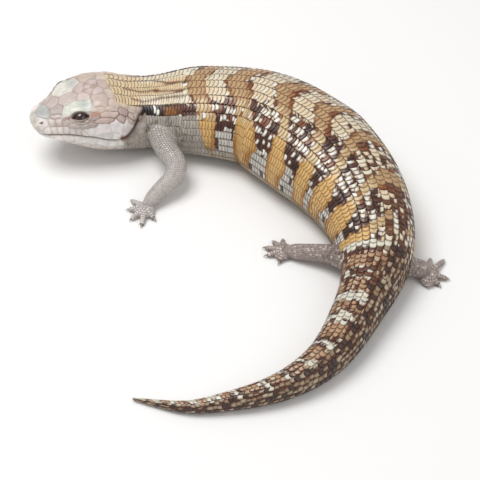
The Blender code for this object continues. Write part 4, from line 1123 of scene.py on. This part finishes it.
def head_shell(share, turn):
    """Outer points of the head with every groove, fold and opening."""
    place = head_place(share)
    marks = head_marks(place, turn)
    strength = site_outlines[sites[marks["owner"], 4].astype(int)]
    groove = (0.10 + 0.26 * strength) * bump(marks["border"], GROOVE_WIDTH)
    out = SHIELD_SWELL * np.clip(marks["border"] / 1.8, 0, 1) - groove
    out -= MOUTH_DEPTH * bump(marks["mouth"], MOUTH_WIDTH) * marks["open_mouth"]
    well = eye_well(place, turn)
    out = out * (1 - well) - SHELL_EYE_DEPTH * well
    out += 0.25 * bump(marks["ring"] - 1.3, 0.2) - 0.35 * bump(marks["ring"] - 1.62, 0.12)
    out += NOSTRIL_RIM * bump(marks["nostril"] - 1.7, 0.7)
    out -= NOSTRIL_DEPTH * bump(marks["nostril"], 0.75)
    out -= CREASE_DEPTH * bump(marks["crease"], 0.75)
    out -= SHELL_DIVE * np.clip((place - shell_end(turn) + 3) / 3, 0, 1)
    return body_surface(place, turn, out)


def head_tints(place, girth):
    """Colour of the head's points: each shield's own, then the marks over them, among them painted
    shade under the brow, on the jaw, in the ear crease and in the nostrils, and a painted highlight
    on the brow.
    """
    random = np.random.default_rng(8)
    marks = head_marks(place, girth)
    kinds = sites[:, 4].astype(int)
    base = np.array([site_tints[kind] for kind in kinds])
    base = base * (1 + random.normal(0, 0.05, (len(sites), 1)))
    base = base * (1 + random.normal(0, 0.012, (len(sites), 3)))
    strength = site_outlines[kinds[marks["owner"]]]
    side = np.abs(girth)
    over_eye = bump(place - 29, 3.0) * bump(side - 0.083, 0.026)
    # A whitish line along the brow ridge: painted highlight.
    brow_highlight = bump(place - 21, 5.5) * bump(side - 0.108, 0.016)
    bridge = bump(place - 6.2, 2.6) * bump(side, 0.05)
    before_eye = bump(place - 12.5, 5.0) * bump(side - 0.165, 0.012)
    nape = np.clip((place - 44) / 10, 0, 1) * np.clip((0.13 - side) / 0.04, 0, 1)
    collar = np.clip((place - 56) / 8, 0, 1) * np.clip((0.2 - side) / 0.04, 0, 1)
    crease_places, crease_levels = np.array(CREASE).T
    past = place - np.interp(marks["height"], crease_levels[::-1], crease_places[::-1])
    behind_crease = np.clip(past / 3, 0, 1) * np.clip((side - 0.11) / 0.02, 0, 1)
    # Darker brown low on the jaw towards the chin: painted shade under the jaw.
    jaw_shade = np.clip((side - 0.31) / 0.05, 0, 1)
    outline = OUTLINE + (DARK_OUTLINE - OUTLINE) * np.clip(strength * 1.6 - 0.6, 0, 1)[:, None]
    line = bump(marks["border"], GROOVE_WIDTH) * (0.12 + 0.78 * strength)
    mouth = bump(marks["mouth"], MOUTH_WIDTH) * marks["open_mouth"]
    # Brown and near-black along the ear crease behind the jowl: painted shade in the fold.
    crease_shade = bump(marks["crease"], 2.0) * (place > 45)
    crease_core_shade = bump(marks["crease"], 0.9) * (place > 45)
    red_foot = bump(place - 46.0, 2.6) * bump(marks["height"] - 17.2, 1.5)
    rear_corner = bump(place - 32.0, 3.0) * bump((side - 0.143) * 95, 1.3)
    front_corner = bump(place - 17.8, 2.6) * bump((side - 0.140) * 75, 0.7)
    # A dark olive band under the brow, over the upper lid: painted shade cast by the brow.
    under_brow_shade = bump(place - 25.0, 5.6) * bump((side - 0.127) * 110, 0.75)
    lid_edge = np.clip(1.3 - marks["ring"], 0, 0.4) / 0.4
    under_eye = (side > eye_girth + 0.012) * bump(place - EYE_PLACE[0], 4.0)
    folds = [under_eye * bump(marks["ring"] - ring_at, 0.07) for ring_at in (1.5, 1.68, 1.86)]
    tint = base[marks["owner"]]
    for colour, weight in (
        (ink("#9fa9a5"), 0.7 * over_eye), (ink("#e6e6da"), 0.6 * brow_highlight),
        (ink("#a3a8a8"), 0.55 * bridge), (ink("#b9a49c"), 0.4 * before_eye),
        (NAPE, 0.7 * nape), (ink("#a39584"), 0.6 * collar),
        (ink("#958c80"), 0.75 * behind_crease), (ink("#8f8176"), 0.5 * jaw_shade),
        (outline, line), (ink("#5a4438"), 0.85 * mouth),
        (ink("#6e4a3e"), 0.8 * crease_shade), (ink("#33201c"), 0.95 * crease_core_shade),
        (ink("#7e3f34"), 0.85 * red_foot), (ink("#a0694f"), 0.85 * rear_corner),
        (ink("#8a5a48"), 0.75 * front_corner), (ink("#554b3a"), 0.8 * under_brow_shade),
        (ink("#3a2a24"), 0.9 * lid_edge), (ink("#e6e0d4"), 0.75 * folds[0]),
        (ink("#7d7063"), 0.75 * folds[1]), (ink("#e2dbd0"), 0.75 * folds[2]),
        (ink("#efe4dc"), 0.7 * bump(marks["nostril"] - 2.1, 1.1)),
        # The nostril's hole is painted near-black: painted shade inside it.
        (ink("#4a2c28"), bump(marks["nostril"], 0.85)),
    ):
        tint = blend_to(tint, colour, weight)
    return tint


def read_layer(mesh, name):
    values = np.empty(len(mesh.vertices), np.float32)
    mesh.attributes[name].data.foreach_get("value", values)
    return values.astype(float)


def map_unwrap(mesh, along, turn):
    """UV map that unrolls a tube: along in U, turn in V, unbroken across the seam below."""
    corners = np.empty(len(mesh.loops), np.int32)
    mesh.loops.foreach_get("vertex_index", corners)
    starts = np.empty(len(mesh.polygons), np.int32)
    mesh.polygons.foreach_get("loop_start", starts)
    v = turn[corners]
    high = np.maximum.reduceat(v, starts)
    sizes = np.diff(np.append(starts, len(corners)))
    v = np.where((np.repeat(high, sizes) > 0.3) & (v < -0.3), v + 1, v)
    maps = np.stack([0.02 + 0.96 * along[corners], 0.02 + 0.95 * (v + 0.5)], 1)
    mesh.uv_layers.new(name="OFBake").data.foreach_set("uv", maps.astype(np.float32).ravel())


HEAD_RINGS, HEAD_COLUMNS = 215, 360
head_mesh = wrapped("head_shields", HEAD_RINGS, HEAD_COLUMNS, head_shell)
head_shares, head_turns = read_layer(head_mesh, "share"), read_layer(head_mesh, "turn")
head_colours = head_tints(head_place(head_shares), head_turns)
set_tint(head_mesh, head_colours)
map_unwrap(head_mesh, head_shares, head_turns)
head_mesh.shade_smooth()
head_piece = place_object("head_shields", head_mesh)
head_mesh.materials.append(shield_keratin)
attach(head_piece, "root")

# Toe and palm scales: one row of plates across the top of each toe, and a lattice of small
# granular scales over the palm, as on a living foot. The soles are left to the skin.
TOE_PITCH = 1.35


def palm_surface(limb, along, turn, out=0.0):
    """Points of a palm in metres; along runs from -1 at the wrist to 1, turn is 0 on top."""
    palm = LIMBS[limb][2]
    middle, heading, aside = palm_frame(limb)
    reach = np.sqrt(np.clip(1 - along ** 2, 0, 1))
    angle = 2 * np.pi * turn
    x = along * (palm[0] + out)
    y = reach * np.sin(angle) * (palm[1] + out)
    z = PALM_LEVEL + reach * np.cos(angle) * (PALM_HALF_HEIGHT + out)
    ground = middle + heading * x[..., None] + aside * y[..., None]
    return np.concatenate([ground, np.maximum(z, LIMB_FLOOR_GAP)[..., None]], -1) * MM


for number, limb in enumerate(LIMBS):
    random = np.random.default_rng(300 + number)
    frames = [digit_frame(limb, digit) for digit in range(5)]
    plates = [(digit, place, turn) for digit, (_, _, reach) in enumerate(frames)
              for place in np.arange(-0.15, 0.98, TOE_PITCH / reach) for turn in (0.0, 0.5)]
    digits = np.array([plate[0] for plate in plates])
    centres = np.array([plate[1:] for plate in plates])
    reaches = np.array([frame_of[2] for frame_of in frames])[digits]
    halves = np.stack([0.82 * TOE_PITCH / reaches, np.full(len(plates), 0.27)], 1)

    def toes_surface(place, turn, out):
        found = np.empty(place.shape + (3,))
        for digit in range(5):
            own = digits == digit
            found[own] = digit_surface(limb, digit, place[own], turn[own], out[own] - 0.1)
        return found

    def foot_scales(name, surface, thickness, patches, steps):
        count = len(centres)
        coat = lay_scales(
            name, surface, centres, halves, *(np.full(count, part) for part in thickness),
            lambda at, turn, size: limb_look(limb, np.ones(len(at)), size, random), patches, steps)
        coat.data.materials.append(limb_keratin)
        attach(coat, "root")

    patches = np.stack([0.05 + 0.15 * digits + 0.1 * centres[:, 0], 0.3 + 0.4 * centres[:, 1]], 1)
    foot_scales(f"coat_{limb}_toes", toes_surface, (0.07, 0.03), patches, (6, 3))
    centres, halves = rows_of_scales(-0.85, 0.9, 18, 0.28, random, 0.0, 0.6)
    top_side = np.abs(centres[:, 1]) < 0.27
    centres, halves = centres[top_side], halves[top_side]
    patches = np.stack(
        [0.85 + 0.12 * (centres[:, 0] + 1) / 2, 0.05 + 0.2 * (centres[:, 1] + 0.5)], 1)
    foot_scales(
        f"coat_{limb}_palm",
        lambda place, turn, out: palm_surface(limb, place, turn, out - 0.15),
        (0.08, 0.06), patches, (4, 3))

# Eyelids: thick folds of small pale scales rolled round the eye's almond opening, darker at the
# corners, with painted shade over the upper half. Each is one closed ring laid on the ball of the
# eye.
EYE_RADIUS, EYE_SINK = 4.2, 0.35
LID_SECTION = (
    (0.92, -0.5), (0.93, 0.05), (0.97, 0.26), (1.04, 0.36), (1.14, 0.36), (1.22, 0.2), (1.3, -0.4),
    (1.32, -1.4),
)


def eye_frame(side):
    """Centre of the ball in millimetres, and its outward, rearward and upward directions."""
    place, girth = np.array([EYE_PLACE[0]]), np.array([side * eye_girth])
    out = outward(place, girth)[0]
    skin_point = plain_point(place, girth)[0] + out * head_relief(place, girth)[0]
    rear = plain_point(place + 0.5, girth)[0] - plain_point(place - 0.5, girth)[0]
    rear = unit(rear - out * (rear @ out))
    up = np.cross(out, rear) * side
    return skin_point - out * (EYE_RADIUS - EYE_SINK), out, rear, up


def lid_surface(side, share, turn):
    """Points of a lid in metres: its section swept round the almond, on the ball of the eye."""
    centre, out, rear, up = eye_frame(side)
    angle = 2 * np.pi * share
    knots = np.linspace(0, 1, len(LID_SECTION) + 1)
    closed = np.array(LID_SECTION + LID_SECTION[:1])
    size = np.interp(turn + 0.5, knots, closed[:, 0])
    proud = np.interp(turn + 0.5, knots, closed[:, 1])
    x = np.cos(angle) * LID_OPENING[0] * size
    y = np.sign(np.sin(angle)) * np.abs(np.sin(angle)) ** 1.3 * LID_OPENING[1] * size
    radius = EYE_RADIUS + proud
    z = np.sqrt(np.clip(radius ** 2 - x ** 2 - y ** 2, 0.2, None))
    return (centre + x[:, None] * rear + y[:, None] * up + z[:, None] * out) * MM


LID_TINT, LID_UPPER_SHADE, LID_DARK = ink("#a89c8e"), ink("#5a5040"), ink("#4a342a")
for side, name in ((1, "left"), (-1, "right")):
    lid = wrapped("eyelid_" + name, 96, 48, lambda share, turn: lid_surface(side, share, turn))
    share, turn = read_layer(lid, "share"), read_layer(lid, "turn")
    around = np.cos(2 * np.pi * share)
    rise = np.sin(2 * np.pi * share)
    # The upper half of each lid is darkened with LID_UPPER_SHADE: painted shade under the brow.
    tint = blend_to(np.tile(LID_TINT, (len(share), 1)), LID_UPPER_SHADE, np.clip(rise * 3, 0, 1))
    tint = blend_to(tint, LID_DARK, 0.9 * np.clip((np.abs(around) - 0.8) / 0.2, 0, 1))
    tint = blend_to(tint, LID_DARK, 0.8 * bump(turn + 0.45, 0.08))
    set_tint(lid, tint)
    lid.shade_smooth()
    piece = place_object("eyelid_" + name, lid)
    lid.materials.append(shield_keratin)
    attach(piece, "root")

# Eyes: glass-bright balls, a round black pupil in a dark red-brown iris, wetted by tears, so
# they give a sharp highlight.
eye_finish = new_finish("wet_eye")
eye_tint = add_node(eye_finish, "ShaderNodeAttribute", {"attribute_name": "tint"})
finish_with(eye_finish,
            {"Roughness": 0.12, "IOR": 1.38, "Coat Weight": 1.0, "Coat Roughness": 0.02},
            {"Base Color": eye_tint.outputs["Color"]})
PUPIL_RADIUS, IRIS_RADIUS = 1.25, 2.5
for side, name in ((1, "left"), (-1, "right")):
    centre, out, rear, up = eye_frame(side)
    ball = bmesh.new()
    bmesh.ops.create_uvsphere(ball, u_segments=96, v_segments=64, radius=EYE_RADIUS)
    for vertex in ball.verts:
        x, y, z = vertex.co
        vertex.co = Vector(centre + rear * x + up * y + out * z) * MM
    if side < 0:
        bmesh.ops.recalc_face_normals(ball, faces=ball.faces[:])
    mesh = bpy.data.meshes.new("eye_" + name)
    ball.to_mesh(mesh)
    ball.free()
    points = np.array([vertex.co for vertex in mesh.vertices]) / MM - centre
    x, y, z = points @ rear, points @ up, points @ out
    off_axis = np.hypot(x, y)
    angle = np.arctan2(y, x)
    streak = 0.5 + 0.5 * np.sin(angle * 23 + 2 * np.sin(angle * 7))
    tint = blend_to(np.tile(ink("#4a2016"), (len(points), 1)), ink("#2a100c"), streak * 0.7)
    tint = blend_to(tint, ink("#060404"), np.clip((PUPIL_RADIUS + 0.12 - off_axis) / 0.12, 0, 1))
    tint = blend_to(tint, ink("#120806"), np.clip((off_axis - IRIS_RADIUS) / 0.3, 0, 1))
    set_tint(mesh, tint)
    mesh.shade_smooth()
    piece = place_object("glass_eye_" + name, mesh)
    mesh.materials.append(eye_finish)
    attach(piece, "root")
    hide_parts("eye_" + name)

# The skin under the coat takes the tint of the nearest scale, darkened as painted shade, since it
# only shows in the gaps, and stands for every solid of flesh.
FLESH = [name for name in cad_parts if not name.startswith("eye")]
# SHADED darkens the skin's tint: painted shade in the gaps between scales.
SHADED = 0.8
root_points, root_tints = (np.concatenate(found) for found in zip(*coat_roots))
roots = kdtree.KDTree(len(root_points))
for number, point in enumerate(root_points):
    roots.insert(point, number)
roots.balance()
nearest_roots = [roots.find(vertex.co)[1] for vertex in skin.data.vertices]
set_tint(skin.data, root_tints[nearest_roots] * SHADED)
skin.data.materials.append(hide)
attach(skin, "root")
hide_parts(*FLESH)

# Floor: a matt near-white studio table, its far edge out of every view, with a faint grain so
# that it doesn't look like a sheet of light.
table_shape = bmesh.new()
bmesh.ops.create_grid(table_shape, x_segments=1, y_segments=1, size=3.0)
table_mesh = bpy.data.meshes.new("studio_floor")
table_shape.to_mesh(table_mesh)
table_shape.free()
table = place_object("studio_floor", table_mesh)
laminate = new_finish("matt_white_laminate")
laminate_spot = add_node(laminate, "ShaderNodeTexCoord")
laminate_grain = add_node(laminate, "ShaderNodeTexNoise", {"Scale": 300.0},
                          {"Vector": laminate_spot.outputs["Object"]})
laminate_bump = add_node(laminate, "ShaderNodeBump", {"Strength": 0.05, "Distance": 0.2 * MM},
                         {"Height": laminate_grain.outputs["Fac"]})
finish_with(laminate, {"Roughness": 0.75, "Base Color": (*ink("#f4f3f1"), 1)},
            {"Normal": laminate_bump.outputs["Normal"]})
table_mesh.materials.append(laminate)

# Studio light and camera: one broad soft light above and to the left, a weaker fill, and a
# long lens looking down at the animal from the front.
CAMERA_AT, CAMERA_AIM = Vector((0.0031, -0.5723, 0.5657)), Vector((0.0031, -0.0066, 0.0))
AIM = Vector((0.0, 0.0, 0.02))


def soft_light(name, place, size, power):
    light = bpy.data.lights.new(name, "AREA")
    light.shape = "DISK"
    light.size = size
    light.energy = power
    lamp = bpy.data.objects.new(name, light)
    lamp.location = place
    lamp.rotation_euler = (AIM - Vector(place)).to_track_quat("-Z", "Y").to_euler()
    bpy.context.scene.collection.objects.link(lamp)


soft_light("overhead", (-0.35, 0.1, 1.0), 0.7, 7.5)
soft_light("fill", (0.7, -0.6, 0.8), 1.0, 2.0)
world = bpy.data.worlds.new("studio")
world.use_nodes = True
world.node_tree.nodes["Background"].inputs["Color"].default_value = (*ink("#f5f5f7"), 1)
world.node_tree.nodes["Background"].inputs["Strength"].default_value = 0.55
bpy.context.scene.world = world
bpy.context.scene.view_settings.view_transform = "Standard"

lens = bpy.data.cameras.new("camera")
lens.lens = 108.0
lens.sensor_width = 36.0
lens.clip_start = 0.01
viewpoint = bpy.data.objects.new("camera", lens)
viewpoint.location = CAMERA_AT
viewpoint.rotation_euler = (CAMERA_AIM - CAMERA_AT).to_track_quat("-Z", "Y").to_euler()
bpy.context.scene.collection.objects.link(viewpoint)
bpy.context.scene.camera = viewpoint
